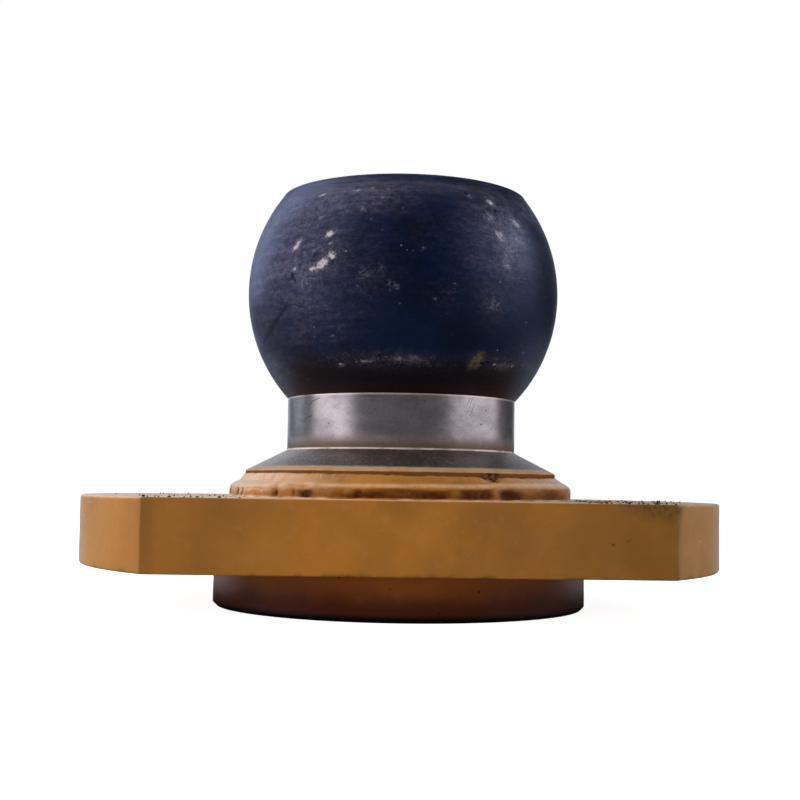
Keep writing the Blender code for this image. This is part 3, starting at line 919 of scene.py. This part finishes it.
def make_ball_oxide():
    """Blue-black heat oxide under a grey-violet film that also paints highlights where the side lights would
    show in it: streaked and flecked, smoked brown near its rim, near black and then red-brown towards its
    foot, and chipped to bare steel."""
    material, tree, place = new_material("ball_oxide")
    worn, chips, haze_and_highlight, along = (stored(tree, name) for name in ("worn", "chips", "haze_and_highlight", "along"))
    wrapped = put(tree, "CombineXYZ", {0: unrolled_place(tree).axis(0), 1: along})
    clouds = place.noise(30.0, 5.0, 0.62)
    fine = place.noise(760.0, 3.0, 0.65)
    coarse = place.noise(240.0, 5.0, 0.75, (1.0, 1.0, 1.6))
    streaks = wrapped.noise(16.0, 6.0, 0.72, (1.0, 15.0, 1.0))
    blotched = wrapped.noise(46.0, 5.0, 0.68, (1.0, 2.4, 1.0))
    streaked = streaks.fade(0.36, 0.64, 0.56, 1.08) * coarse.fade(0.36, 0.62, 0.34, 1.10)
    streaked = streaked * blotched.fade(0.38, 0.60, 0.58, 1.12)
    # The film's field also holds painted highlights: the film, its wisps and the grey scuffs follow it
    film = haze_and_highlight * 1.20 + clouds.fade(0.48, 0.70, 0.0, 0.01)
    wisps = wrapped.noise(75.0, 4.0, 0.65, (1.0, 9.0, 1.0)).fade(0.56, 0.74) * (haze_and_highlight * 0.65)
    foot = place.axis(2) + streaks.centred(0.014)
    unhazed = haze_and_highlight.fade(0.10, 0.60, 1.0, 0.15)
    smoke = stored(tree, "smoke") * streaks.fade(0.40, 0.62, 0.25, 1.0)
    rubbed = worn * wrapped.noise(120.0, 5.0, 0.7, (1.0, 2.2, 1.0)).fade(0.38, 0.62, 0.22, 0.92)
    tan = stored(tree, "blotch").fade(0.05, 0.90) * coarse.fade(0.36, 0.60, 0.15, 1.0)
    scuffs = haze_and_highlight * blotched.fade(0.50, 0.66, 0.04, 0.42)
    density = peak((worn * 0.52 + clouds.fade(0.44, 0.70, 0.0, 0.03)).clamped(), scuffs)
    flecks = (fine + coarse.centred(0.9)).fade(0.52, 0.70)
    crumbs = specks(place, 300.0, 0.16, 0.24) * blotched.fade(0.44, 0.60, 0.05, 0.75)
    scuffed = flaking(place, chips * 0.90, 460.0, 0.30)
    bare = flaking(place, chips * 0.82, 640.0, 0.10) * chips.fade(0.2, 0.7, 0.35, 1.0)
    dots = stored(tree, "dots") * fine.fade(0.36, 0.60, 0.3, 1.3)
    bare = peak(bare, dots.fade(0.45, 0.9, 0.0, 0.55))
    bare = peak(bare, scratches(tree, SCRATCHES) * fine.fade(0.40, 0.64, 0.03, 0.42))
    torn = scratches(tree, GOUGES) * coarse.fade(0.34, 0.56, 0.45, 1.0)
    holes = specks(place, 650.0, 0.25, 0.6) * chips.fade(0.30, 0.60, 0.0, 0.8)
    colour = layered(blend(clouds.fade(0.36, 0.60), OXIDE_BLACK, OXIDE), [
        ((film * streaked).clamped(), HAZE_AND_HIGHLIGHT_VIOLET),
        (wisps, OXIDE_GREY),
        (foot.fade(*FOOT_DARKENING, 0.0, 0.95) * unhazed, NEAR_BLACK),
        (foot.fade(*FOOT_REDDENING, 0.0, 0.8) * unhazed, RED_BROWN),
        (smoke, SMOKE_BROWN),
        (rubbed, WORN_BROWN),
        (worn * coarse.fade(0.50, 0.40) * 0.85, NEAR_BLACK),
        (tan, TAN_BROWN),
        (flecks * density, OXIDE_GREY),
        (crumbs, DULL_CHIP),
        (scuffed * 0.60, OXIDE_GREY),
        (bare, blend(chips.fade(0.40, 0.75), DULL_CHIP, BARE_CHIP)),
        (peak(peak(stored(tree, "pits").fade(0.25, 0.65), torn), holes), HOLE_BLACK),
    ])
    roughness = (smoke * 0.10 + coarse.centred(0.35) + 0.37 + bare * 0.15).clamped()
    height = (fine + coarse) * 0.9 + turning(place, 1400.0) * 0.5
    return finish(
        material, height, 0.0003, 0.45, Base_Color=colour, Roughness=roughness,
        Metallic=0.20, Specular_IOR_Level=0.42, Specular_Tint=OXIDE_TINT,
    )


NECK_STEEL = (0.590, 0.540, 0.575)
STAINED_STEEL = (0.36, 0.33, 0.37)
STEEL_GRIT = (0.22, 0.195, 0.22)
SCRATCH_DARK = (0.045, 0.038, 0.045)
OLIVE_MIST = (0.140, 0.088, 0.026)
EDGE_HIGHLIGHT = (0.86, 0.74, 0.68)
NECK_MIST = (0.0928, 0.1025)
# Heights between which the painted highlight at the neck's top comes in, and how far over its foot the
# other goes
TOP_LINE = (0.1227, 0.1234)
FOOT_LINE = (0.0009, 0.0002)
FOOT_LINE_START = NECK_FOOT + 0.0001


def make_neck_steel():
    """Bare turned steel: satin, with fine lathe lines, dull stains, a few curved scratches, a painted
    highlight along its top and another in the fillet at its foot, and paint mist above that."""
    material, tree, place = new_material("neck_steel")
    level = place.axis(2)
    clouds = place.noise(70.0, 4.0, 0.6, (1.0, 1.0, 1.6))
    fine = place.noise(1250.0, 3.0, 0.65, (1.0, 1.0, 1.8))
    grit = fine.fade(0.50, 0.66) * clouds.fade(0.35, 0.60, 0.35, 0.75)
    pits = specks(place, 520.0, 0.07, 0.45)
    mist = overspray(place, *NECK_MIST, 0.6)
    # Painted highlights: a bright line along the neck's top and another in the fillet at its foot
    line = peak(level.fade(*TOP_LINE), (level - FOOT_LINE_START).fade(*FOOT_LINE))
    line = line * place.noise(90.0).fade(0.30, 0.55, 0.4, 1.0)
    colour = layered(blend(clouds.fade(0.36, 0.64, 0.0, 0.65), NECK_STEEL, STAINED_STEEL), [
        (grit, STEEL_GRIT),
        (peak(scratches(tree, NECK_SCRATCHES) * 0.85, pits * 0.6), SCRATCH_DARK),
        (mist * 0.95, OLIVE_MIST),
        (line, EDGE_HIGHLIGHT),
    ])
    roughness = (clouds * 0.16 + (mist * 0.26 + 0.22)).clamped()
    matt = peak(mist, line * level.fade(0.1150, 0.1000, 0.45, 1.0))
    height = fine * 0.45 + turning(place, 3200.0)
    return finish(
        material, height, 0.0002, 0.25, Base_Color=colour, Roughness=roughness,
        Metallic=(1.0 - matt * 0.65).clamped(), Anisotropic=0.5, Anisotropic_Rotation=0.25,
    )


DUSTY_STEEL = (0.180, 0.150, 0.128)
DUSTY_LIGHT = (0.280, 0.240, 0.220)
COLLAR_GRAIN = (0.052, 0.042, 0.036)
COLLAR_HIGHLIGHT_GREY = (0.720, 0.670, 0.680)
COLLAR_FLECK = (0.42, 0.36, 0.32)
TAN_MIST = (0.560, 0.400, 0.230)
CORNER_SHADE = (0.160, 0.046, 0.002)
PIT_BROWN = (0.010, 0.004, 0.002)
COLLAR_MIST = (0.0803, 0.0834)
# Heights on the collar's lip between which the painted shade over the weld comes in, downwards
CORNER_SHADE_FADE = (0.0798, 0.0793)
# Where the weld's crater has charred the corner over it: place and radius
CHARRED = (((0.0458, -0.0824, 0.0780), 0.0085),)


def make_collar_steel():
    """Dusty turned steel, dark and speckled, which the plate's enamel covers from just above the collar's
    edge, with pale patches painted as highlights on its sides, and painted shade in the corner over the
    weld, charred in one place."""
    material, tree, place = new_material("collar_steel")
    clouds = place.noise(60.0, 4.0, 0.6)
    fine = place.noise(1000.0, 3.0, 0.7)
    mist = overspray(place, *COLLAR_MIST, 0.9)
    # Painted shade in the corner over the weld, coming in downwards
    corner_shade = (place.axis(2) + clouds.centred(0.0008)).fade(*CORNER_SHADE_FADE, 0.0, 0.92)
    charred = spots(place, CHARRED) * place.noise(520.0, 4.0, 0.7).fade(0.44, 0.54)
    colour = layered(blend(clouds.fade(0.40, 0.68), DUSTY_STEEL, DUSTY_LIGHT), [
        (fine.fade(0.46, 0.62, 0.0, 0.75), COLLAR_GRAIN),
        # Pale patches from the ball's field: on the collar, painted highlights on its sides
        (stored(tree, "haze_and_highlight") * fine.fade(0.62, 0.42, 0.35, 1.0), COLLAR_HIGHLIGHT_GREY),
        (specks(place, 560.0, 0.20, 0.55) * 0.6, COLLAR_FLECK),
        (mist.fade(0.05, 0.60), TAN_MIST),
        (mist.fade(0.45, 1.0, 0.0, 0.70), enamel(place, 0.45)["Colour"]),
        (corner_shade, CORNER_SHADE),
        (charred * corner_shade, PIT_BROWN),
    ])
    return finish(
        material, fine, 0.0002, 0.4, Base_Color=colour, Roughness=corner_shade * 0.35 + 0.42,
        Metallic=mist.fade(0.0, 0.8, 0.80, 0.0), Specular_IOR_Level=0.28,
    )


SPIGOT_BROWN = (0.520, 0.145, 0.014)
SPIGOT_DARK = (0.085, 0.014, 0.002)
FOOT_BLACK = (0.002, 0.001, 0.001)
SPIGOT_SPECK = (0.010, 0.006, 0.005)
SPIGOT_SHEEN = (0.780, 0.630, 0.700)
# Heights on the spigot between which its painted shade turns from dark to brown, and from its black foot
BROWN_FADE = (0.006, 0.030)
FOOT_FADE = (0.0050, 0.0020)


def make_spigot_steel():
    """Brown forging skin under the plate, with painted shade that darkens it downwards to black at its foot,
    a few dark specks, and a painted pale sheen at a grazing angle."""
    material, tree, place = new_material("spigot_steel")
    clouds = place.noise(45.0, 4.0, 0.6)
    height = place.axis(2)
    facing = put(tree, "LayerWeight", out="Facing")
    # Painted shade: darker downwards and black at the foot; a painted pale sheen on the sides
    colour = layered(blend((height + clouds.centred(0.010)).fade(*BROWN_FADE), SPIGOT_DARK, SPIGOT_BROWN), [
        (height.fade(*FOOT_FADE), FOOT_BLACK),
        (specks(place, 190.0, 0.10, 0.22) * 0.8, SPIGOT_SPECK),
        (facing.fade(0.38, 0.88, 0.0, 0.95) * height.fade(0.005, 0.022), SPIGOT_SHEEN),
    ])
    roughness = clouds.fade(0.3, 0.7, 0.34, 0.46)
    bumps = place.noise(700.0)
    return finish(
        material, bumps, 0.0003, 0.35, Base_Color=colour, Roughness=roughness, Specular_IOR_Level=0.25,
    )


stud_materials = [make_ball_oxide(), make_neck_steel(), make_collar_steel(), make_spigot_steel()]
add_piece(stud_mesh(), stud_materials, "trunnion_ball", 38)


# Ring weld: a fillet in two passes that joins the collar to the plate, the lower one thick and lumpy with
# the welder's stops, the upper one smooth up to the collar's lip, and all under the plate's enamel.
WELD_BORE = 0.0945
WELD_BASE = 0.0642
WELD_TOP = 0.0781
WELD_STEPS = 1350
LOWER_STEPS = 36
UPPER_STEPS = 16
# The lower bead: how far its toe reaches, where it meets the upper one in a crease, and how it swells at
# each
LOWER_REACH = 0.0096
LOWER_SWELL = (0.0006, 0.0062)
CREASE_REACH = 0.0030
CREASE_HEIGHT = 0.0742
CREASE_SWELL = (0.0056, -0.0022)
# Round the weld in degrees, with a half width each: where the beads are fuller, where the lower one is
# flatter, where the boundary of its set-back half lies lower, and the side painted light as a highlight
FULLER = (0, 55)
FULLER_TOP = (-135, 32)
FLATTER = (-95, 42)
LOWER_BOUNDARY = (-150, 35)
HIGHLIGHTED_SIDE = (-150, 30)
FULLER_SWELL = 0.0012
FULLER_TOP_RISE = 0.0004
FLATTER_REACH = 0.0026
FLATTER_DROP = 0.0015
SET_BACK = 0.00042
# The lower bead, in shares of the way from toe to crease: where its set-back half ends, how much lower on
# one side and over how soft a step, where notches and lumps sit and how wide, and how high drips flare.
# Then how far drips stand out at the toe
BOUNDARY = 0.57
BOUNDARY_DROP = 0.12
BOUNDARY_STEP = 0.13
NOTCH_LEVEL = 0.20
NOTCH_SPREAD = 0.20
FLARE_REACH = 0.035
FLARE = 0.00045
# The upper bead, in shares of the way from crease to lip: where the lip's beads sit and how wide. Then how
# far it bulges halfway up
LIP_BEAD_LEVEL = 0.72
LIP_BEAD_SPREAD = 0.16
UPPER_BULGE = 0.0003
# The welder's hand: waves in a turn, height and phase, then where the pass was stopped and begun again
WAVES = ((1, 0.00010, 1.6), (7, 0.00020, 0.6), (19, 0.00024, 2.1), (43, 0.00016, 4.0))
STOPS = (-155, -135, -123, -60, 12, 84, 133)
STOP_DIP = 0.0008
DIP_HALF_WIDTH = 2.4
CRATER = -61
CRATER_DEPTH = 0.0010
# How far the upper bead's top sags: place, half width and depth
SAGS = ((CRATER, 3.0, 0.0024), (-48, 24, 0.0006))
# Places round the weld in degrees, half widths, and depths, heights or strengths
NOTCHES = (
    (-158.8, 0.8, 0.0012), (-154.0, 0.7, 0.0014), (-134.6, 1.3, 0.0015), (-127.0, 0.5, 0.0007),
    (-122.4, 2.1, 0.0017), (-105.4, 1.0, 0.0012), (-78.0, 1.6, 0.0005), (-59.0, 2.2, 0.0011),
    (-170.0, 1.2, 0.0010), (15.0, 1.3, 0.0011), (42.0, 1.6, 0.0008), (87.0, 1.3, 0.0012),
    (120.0, 1.5, 0.0008), (150.0, 1.4, 0.0011),
)
NOTCH_DARKEST = 0.0018
LUMPS = (
    (-107.9, 1.3, 0.0014), (-76.0, 1.6, 0.0005), (-56.0, 1.2, 0.0007), (30.0, 1.4, 0.0009),
    (-165.0, 1.0, 0.0006), (110.0, 1.3, 0.0009),
)
LIP_BEADS = (
    (-119.2, 0.45, 0.0006), (-100.5, 0.8, 0.0003), (-70.5, 1.2, 0.0003), (-56.0, 1.0, 0.0004),
    (-52.0, 0.7, 0.0003),
)
# The painted shade on the lower bead round the weld: place, half width and strength; negative ones take it
# away
SHADE_STRENGTHS = (
    (-93.0, 19.0, 0.66), (-69.5, 6.5, 0.58), (-57.0, 4.5, 0.60), (-77.0, 2.2, -0.60), (-62.6, 1.4, -0.45),
    (-123.8, 3.0, 0.3), (-38.0, 9.0, 0.35), (20.0, 24.0, 0.45), (75.0, 18.0, 0.40), (125.0, 16.0, 0.45),
    (165.0, 10.0, 0.30),
)


def weld_points():
    """The weld's closed section at each angle, with how light its toe, crease and one side are, as pooled
    paint and painted highlights, how dark its painted shade is, and how burnt its crater and notches, the
    notches' dark being painted shade. The lower bead is a cubic curve, upright at the toe and sloping at the
    crease, with its low half set back; the upper bead is a chord that sags at the crater. Waves, stops,
    notches, lumps and fine grain uneven both, and one stretch of the lower bead is flatter."""
    steps = WELD_STEPS
    angle = np.linspace(-math.pi, math.pi, steps, endpoint=False)
    waviness = sum(height * np.sin(count * angle + phase) for count, height, phase in WAVES)
    dips = sum(bell(angle, stop, DIP_HALF_WIDTH) for stop in STOPS)
    crater = bell(angle, CRATER, DIP_HALF_WIDTH)

    def place(reach, height):
        """A ring of section points at this reach past the bore and this height."""
        return np.stack(np.broadcast_arrays(WELD_BORE + reach, height * np.ones(steps)), axis=1)

    # Lower bead: a cubic curve between the toe and the crease
    toe = place(LOWER_REACH + waviness + ring_grain(steps, 14, 32) * 0.00016, WELD_BASE)
    fuller = FULLER_SWELL * bell(angle, *FULLER)
    flatter = bell(angle, *FLATTER)
    crease = place(
        CREASE_REACH + fuller + FLATTER_REACH * flatter + waviness * 0.6,
        CREASE_HEIGHT + 0.8 * fuller - FLATTER_DROP * flatter + ring_grain(steps, 22, 33) * 0.00020,
    )
    swelling = 1 - (STOP_DIP / 0.003) * dips + waviness / 0.002 * 0.25
    low_handle = toe + np.outer(swelling, LOWER_SWELL)
    high_handle = crease + np.outer(swelling, CREASE_SWELL) - np.outer(flatter, (0.8 * FLATTER_REACH, 0.0))
    share = np.linspace(0, 1, LOWER_STEPS)
    along = share[None, :, None]
    lower = (
        toe[:, None] * (1 - along) ** 3 + 3 * low_handle[:, None] * along * (1 - along) ** 2
        + 3 * high_handle[:, None] * along**2 * (1 - along) + crease[:, None] * along**3
    )

    # Its unevenness: the set-back low half, notches and lumps, grain, and drips that flare out at the toe
    boundary = BOUNDARY - BOUNDARY_DROP * bell(angle, *LOWER_BOUNDARY) + ring_grain(steps, 12, 38) * 0.035
    boundary = (boundary + ring_grain(steps, 3.5, 39) * 0.012)[:, None]
    below = unit((boundary - share) / BOUNDARY_STEP)
    notch = bells(angle, NOTCHES)
    low = np.exp(-(((share - NOTCH_LEVEL) / NOTCH_SPREAD) ** 2)) * unit(share * 12)
    notched = notch[:, None] * low / NOTCH_DARKEST
    shape = (steps, LOWER_STEPS)
    rough = grain(shape, 5.0, 4.0, 34) * 0.00009 + grain(shape, 1.6, 1.2, 35) * 0.00003
    rough *= (0.30 + below) * unit(share * 10) * unit((1 - share) * 8)
    drips = np.clip(0.5 + grain((steps, 1), 6, 1, 40) * 0.6, 0, 1.6)
    flare = FLARE * drips * np.exp(-share / FLARE_REACH)
    set_back = SET_BACK * below * unit(share * 14)
    lower[..., 0] += (bells(angle, LUMPS) - notch)[:, None] * low + rough - set_back + flare
    lower[..., 1] += rough * 0.5

    # Upper bead: a chord from the crease to the collar's lip, ragged at the crater and beaded at the lip
    sag = bells(angle, SAGS) + 0.0004 * np.clip(ring_grain(steps, 16, 41) - 0.4, 0, 2)
    torn = np.clip(ring_grain(steps, 2.2, 45), -1, 1) * bell(angle, CRATER, 5.0)
    rise = FULLER_TOP_RISE * bell(angle, *FULLER_TOP)
    top = place(0.0, WELD_TOP + rise - sag - 0.0002 * np.abs(ring_grain(steps, 3, 42)) - 0.0005 * torn)
    sweep = np.linspace(0, 1, UPPER_STEPS)
    upper = crease[:, None] + (top - crease)[:, None] * sweep[None, :, None]
    middle = np.sin(math.pi * sweep)
    shape = (steps, UPPER_STEPS)
    ragged = grain(shape, 3.0, 2.0, 36) * bell(angle, CRATER, 4.0)[:, None] * 0.0004
    ripple = grain(shape, 8.0, 2.0, 37) * 0.00005
    beads = bells(angle, LIP_BEADS)[:, None] * np.exp(-(((sweep - LIP_BEAD_LEVEL) / LIP_BEAD_SPREAD) ** 2))
    upper[..., 0] += (UPPER_BULGE - CRATER_DEPTH * crater[:, None] + ragged + ripple) * middle
    upper[..., 0] += beads * unit((1 - sweep) * 6)
    section = np.concatenate([place(0.0, WELD_BASE)[:, None], lower, upper[:, 1:]], axis=1)
    radius, height = section[..., 0], section[..., 1]
    points = np.stack([radius * np.cos(angle)[:, None], radius * np.sin(angle)[:, None], height], axis=-1)

    # What its paint reads: painted light, painted shade and burnt, over the lower bead's points and then the
    # upper one's
    on_lower, on_upper = slice(1, 1 + LOWER_STEPS), slice(1 + LOWER_STEPS, None)
    light, hollow_shade, burnt = (np.zeros(points.shape[:2]) for _ in range(3))
    # Painted highlights at the toe, where the paint also pooled, at the crease, and up one side
    light[:, 1:4] = np.array((1.0, 0.8, 0.30)) * drips
    light[:, 1 + LOWER_STEPS - 15 : 1 + LOWER_STEPS] = 0.75 * np.sin(np.linspace(0.3, 2.9, 15))
    highlighted_side = bell(angle, *HIGHLIGHTED_SIDE)
    upward = unit((np.arange(section.shape[1]) - LOWER_STEPS * 0.20) / 6)
    light = np.maximum(light, np.outer(highlighted_side, upward) * 0.85)
    # Painted shade: in the lower bead's set-back half and its notches, in the crater, and under the collar's
    # lip
    shade_strength = (0.26 - 0.24 * highlighted_side + bells(angle, SHADE_STRENGTHS))[:, None]
    shade_strength = shade_strength * (1 + 0.25 * np.clip(grain((steps, LOWER_STEPS), 14.0, 6.0, 43), -1, 1))
    hollow_shade[:, on_lower] = below * shade_strength * (1 - 0.45 * share / boundary) * 1.4 + notched
    hollow_shade[:, on_lower] *= unit((share - 0.03) * 30)
    hollow_shade[:, on_upper] = (crater[:, None] * middle * 0.6 + 0.85 * unit((sweep - 0.86) * 10))[:, 1:]
    flecked = unit(1.3 * grain(shape, 1.6, 1.0, 44) + 0.4) * bell(angle, CRATER, 3.4)[:, None]
    burnt[:, on_lower] = 0.5 * notched
    burnt[:, on_upper] = (flecked * unit(sweep * 3 - 0.6))[:, 1:]
    return points, {"light": light, "hollow_shade": hollow_shade, "burnt": burnt}


HOLLOW_SHADE_BROWN = (0.072, 0.015, 0.0006)


def make_weld_paint():
    """The plate's enamel over the beads: painted highlights on the slopes of one side, at the crease and at
    the toe, where it also pooled, brown painted shade below and in the hollows, burnt in the crater and
    the notches, the notches' dark being painted shade too, and a painted pale sheen at a grazing angle."""
    material, tree, place = new_material("weld_enamel")
    paint = enamel(place, stored(tree, "light"))
    hollow_shade = stored(tree, "hollow_shade")
    ragged = place.noise(420.0, 4.0, 0.7)
    facing = put(tree, "LayerWeight", out="Facing")
    # Painted shade in the hollows, burnt flecks, shade in the notches, and a painted pale sheen at a grazing
    # angle
    colour = layered(paint["Colour"], [
        (hollow_shade * ragged.fade(0.30, 0.60, 0.8, 1.0), HOLLOW_SHADE_BROWN),
        (stored(tree, "burnt") * ragged.fade(0.38, 0.54, 0.25, 1.0), PIT_BROWN),
        (facing.fade(0.30, 1.0, 0.0, 0.60) * (1.0 - hollow_shade * 1.8).clamped(), PALE_SHEEN),
    ])
    roughness = (paint["Roughness"] - 0.13 + hollow_shade * 0.36).clamped()
    bumps = paint["Height"]
    return finish(
        material, bumps, 0.0005, 0.6, Base_Color=colour, Roughness=roughness, Specular_IOR_Level=0.30,
    )


points, wear = weld_points()
weld_mesh = ring_mesh("ring_weld", points)
for name, values in wear.items():
    mark(weld_mesh, name, unit(values))
add_piece(weld_mesh, [make_weld_paint()], "collar_weld", 50)


# Grit: burnt crumbs of weld spatter and dirt, a millimetre or two across, stuck on the plate's top near its
# edges under the same enamel.
GRIT_BROWN = (0.030, 0.022, 0.018)
CRUMB_SIDES = 10
CRUMB_RINGS = 6
# Crumbs along the front edge: place along it and size, both in millimetres
GRIT_ALONG_FRONT = (
    (-137.0, 1.6), (-134.5, 1.2), (-123.5, 1.5), (-116.0, 1.0), (-113.0, 1.2), (-109.5, 1.3), (-107.0, 1.0),
    (-98.5, 1.4), (-95.0, 0.8), (-88.0, 0.9), (92.0, 0.8), (98.5, 1.6), (103.0, 1.1), (108.0, 0.8),
    (112.5, 1.4), (118.0, 0.9), (122.0, 1.0), (127.5, 2.9),
)
GRIT_FRONT_ROW = -0.1265
GRIT_ROW_SPREAD = (-0.003, 0.002)
# Crumbs scattered over the whole top, in a box, between two rings and off the strip before the weld
SCATTERED_GRIT = 90
SCATTER_BOX = ((-0.182, 0.182), (-0.126, 0.126))
SCATTER_RINGS = (0.110, 0.184)
BARE_STRIP = 0.085
SCATTERED_SIZE = (0.0004, 0.0011)
# Crumbs that lie thicker near the right front corner
DRIFTED_GRIT = 70
DRIFT = ((0.094, 0.140), (-0.128, 0.010))
DRIFTED_SIZE = (0.0005, 0.0013)


def crumb_points(centre, size, seed):
    """A lumpy ball: a sphere of rings, each point's distance changed by a few seeded waves, flattened and
    sunk a little into the paint."""
    rng = np.random.default_rng(seed)
    around = np.linspace(0, TURN, CRUMB_SIDES, endpoint=False)[:, None]
    up = np.linspace(-math.pi / 2, math.pi / 2, CRUMB_RINGS + 2)[None, 1:-1]
    parts = np.broadcast_arrays(np.cos(up) * np.cos(around), np.cos(up) * np.sin(around), np.sin(up))
    way = np.stack(parts, axis=-1)
    lumps = sum(0.16 * np.sin(way @ rng.normal(0, 2.4, 3) + rng.uniform(0, TURN)) for _ in range(4))
    squash = size / 2 * np.array((1.0, 1.0, rng.uniform(0.6, 0.95)))
    body = way * (1 + lumps)[..., None] * squash
    poles = np.array(((0, 0, -1.0), (0, 0, 1.0))) * squash
    sunk = np.array((*centre, PLATE_TOP + size * 0.18))
    return np.concatenate([body.reshape(-1, 3), poles]) + sunk


def grit_mesh():
    """All the crumbs: the row near the front edge, then those scattered over the top outside the weld, then
    those that drifted to the right front corner."""
    rng = np.random.default_rng(51)
    crumbs = []
    for x, size in GRIT_ALONG_FRONT:
        crumbs.append((x / 1000, GRIT_FRONT_ROW + rng.uniform(*GRIT_ROW_SPREAD), size / 1000))
    while len(crumbs) < len(GRIT_ALONG_FRONT) + SCATTERED_GRIT:
        x, y = (rng.uniform(*side) for side in SCATTER_BOX)
        before_weld = abs(x) < BARE_STRIP and y < 0
        if SCATTER_RINGS[0] < math.hypot(x, y) < SCATTER_RINGS[1] and not before_weld:
            crumbs.append((x, y, rng.uniform(*SCATTERED_SIZE)))
    for _ in range(DRIFTED_GRIT):
        crumbs.append(tuple(rng.uniform(*reach) for reach in (*DRIFT, DRIFTED_SIZE)))
    points = [crumb_points((x, y), size, number) for number, (x, y, size) in enumerate(crumbs)]
    faces = []
    for number, crumb in enumerate(points):
        # A crumb's rings run upwards, so its faces are turned over, each from its first point on
        for corner, *others in turned_faces(CRUMB_SIDES, CRUMB_RINGS, number * len(crumb)):
            faces.append([corner, *reversed(others)])
    return new_mesh("plate_grit", np.concatenate(points).tolist(), faces)


def make_grit():
    """Dark brown, dull and mottled."""
    material, _, place = new_material("grit")
    colour = blend(place.noise(700.0).fade(0.45, 0.75, 0.0, 0.5), GRIT_BROWN, DUST)
    return finish(material, place.noise(1500.0), 0.0004, 0.6, Base_Color=colour, Roughness=0.75)


add_piece(grit_mesh(), [make_grit()], None, 60)


# Floor and lights: a plain pale floor, tall soft panels on both sides, raised ones behind them that edge
# the ball, others overhead and low behind, and broad fills from above and from the front that light paint
# but aren't mirrored.
FLOOR_HALF = 8
FLOOR_GREY = (0.34, 0.82)
# How the floor glows to the camera near by and far off, and how it glows in what mirrors it
FLOOR_GLOW = (0.92, 1.05)
FLOOR_GLOW_REACH = (0.12, 0.45)
FAR_FLOOR_GLOW = (0.0, 0.10)
FAR_FLOOR_REACH = (0.25, 0.90)
WHITE = (1.0, 1.0, 1.0)
COOL = (0.76, 0.86, 1.0)
NEUTRAL = (1.0, 0.975, 0.985)
PANEL_AIM = (0, 0, 0.14)
# Each panel: place in degrees round, distance out and height, then width, height, brightness, if the object
# mirrors it, and its colour
PANELS = (
    ("left_panel", (195.0, 1.30, 0.72), 1.24, 1.90, 1.22, True, NEUTRAL),
    ("left_rear_panel", (139.0, 1.30, 0.97), 0.85, 1.54, 1.55, True, COOL),
    ("left_fill", (200.0, 1.30, 0.85), 0.80, 0.80, 1.40, False, NEUTRAL),
    ("left_low_fill", (192.0, 1.30, 0.12), 0.70, 0.30, 2.60, False, NEUTRAL),
    ("right_panel", (-13.0, 1.30, 0.55), 1.56, 1.25, 0.82, True, NEUTRAL),
    ("right_rear_panel", (3.0, 1.30, 0.86), 0.44, 0.50, 3.00, True, COOL),
    ("right_fill", (-20.0, 1.30, 0.60), 0.80, 0.80, 0.80, False, NEUTRAL),
    ("top_panel", (90.0, 0.10, 1.50), 1.40, 1.40, 0.34, True, COOL),
    ("top_fill", (90.0, 0.10, 1.60), 1.40, 1.40, 1.50, False, NEUTRAL),
    ("back_panel", (90.0, 1.50, 0.45), 1.60, 0.80, 0.60, True, COOL),
    ("front_fill", (-98.0, 1.60, 0.42), 1.40, 0.84, 1.72, False, NEUTRAL),
)
SHADE_BRIGHTNESS = 0.03
MIRRORED_BRIGHTNESS = 0.055


def make_floor():
    """A wide flat sheet, dim in what the object sees of it and near white to the camera."""
    corners = [(x * FLOOR_HALF, y * FLOOR_HALF, 0) for x, y in ((-1, -1), (1, -1), (1, 1), (-1, 1))]
    mesh = new_mesh("floor", corners, [(0, 1, 2, 3)])
    material, tree, place = new_material("pale_floor")
    shader = tree.nodes["Principled BSDF"]
    seen, mirrored = (put(tree, "LightPath", out=f"Is {ray} Ray") for ray in ("Camera", "Glossy"))
    distance = place.vector("LENGTH", out="Value")
    near_glow = seen * distance.fade(*FLOOR_GLOW_REACH, *FLOOR_GLOW)
    far_glow = mirrored * distance.fade(*FAR_FLOOR_REACH, *FAR_FLOOR_GLOW)
    grey = seen.fade(0.0, 1.0, *FLOOR_GREY)
    connect(put(tree, "CombineColor", {0: grey, 1: grey, 2: grey}), shader.inputs["Base Color"])
    connect(near_glow + far_glow, shader.inputs["Emission Strength"])
    connect(WHITE, shader.inputs["Emission Color"])
    connect(0.9, shader.inputs["Roughness"])
    connect(0.0, shader.inputs["Specular IOR Level"])
    mesh.materials.append(material)
    floor = add_object("floor", mesh)


def add_panel(name, place, width, height, brightness, mirrored, colour):
    """A soft panel light at a place, facing the object, which the camera doesn't see. Its power is its
    brightness times its area and pi."""
    degrees, distance, level = place
    angle = math.radians(degrees)
    light = bpy.data.lights.new(name, "AREA")
    light.shape = "RECTANGLE"
    light.size = width
    light.size_y = height
    light.energy = brightness * math.pi * width * height
    light.color = colour
    panel = add_object(name, light)
    panel.location = (distance * math.cos(angle), distance * math.sin(angle), level)
    panel.rotation_mode = "QUATERNION"
    panel.rotation_quaternion = (Vector(PANEL_AIM) - panel.location).to_track_quat("-Z", "Y")
    panel.visible_camera = False
    panel.visible_glossy = mirrored


make_floor()
for panel in PANELS:
    add_panel(*panel)

world = bpy.data.worlds.new("studio")
world.use_nodes = True
sky = world.node_tree
background = sky.nodes["Background"]
shade = put(sky, "LightPath", out="Is Glossy Ray").fade(0.0, 1.0, SHADE_BRIGHTNESS, MIRRORED_BRIGHTNESS)
connect(put(sky, "LightPath", out="Is Camera Ray").fade(0.0, 1.0, shade, 1.0), background.inputs["Strength"])
connect(WHITE, background.inputs["Color"])
bpy.context.scene.world = world
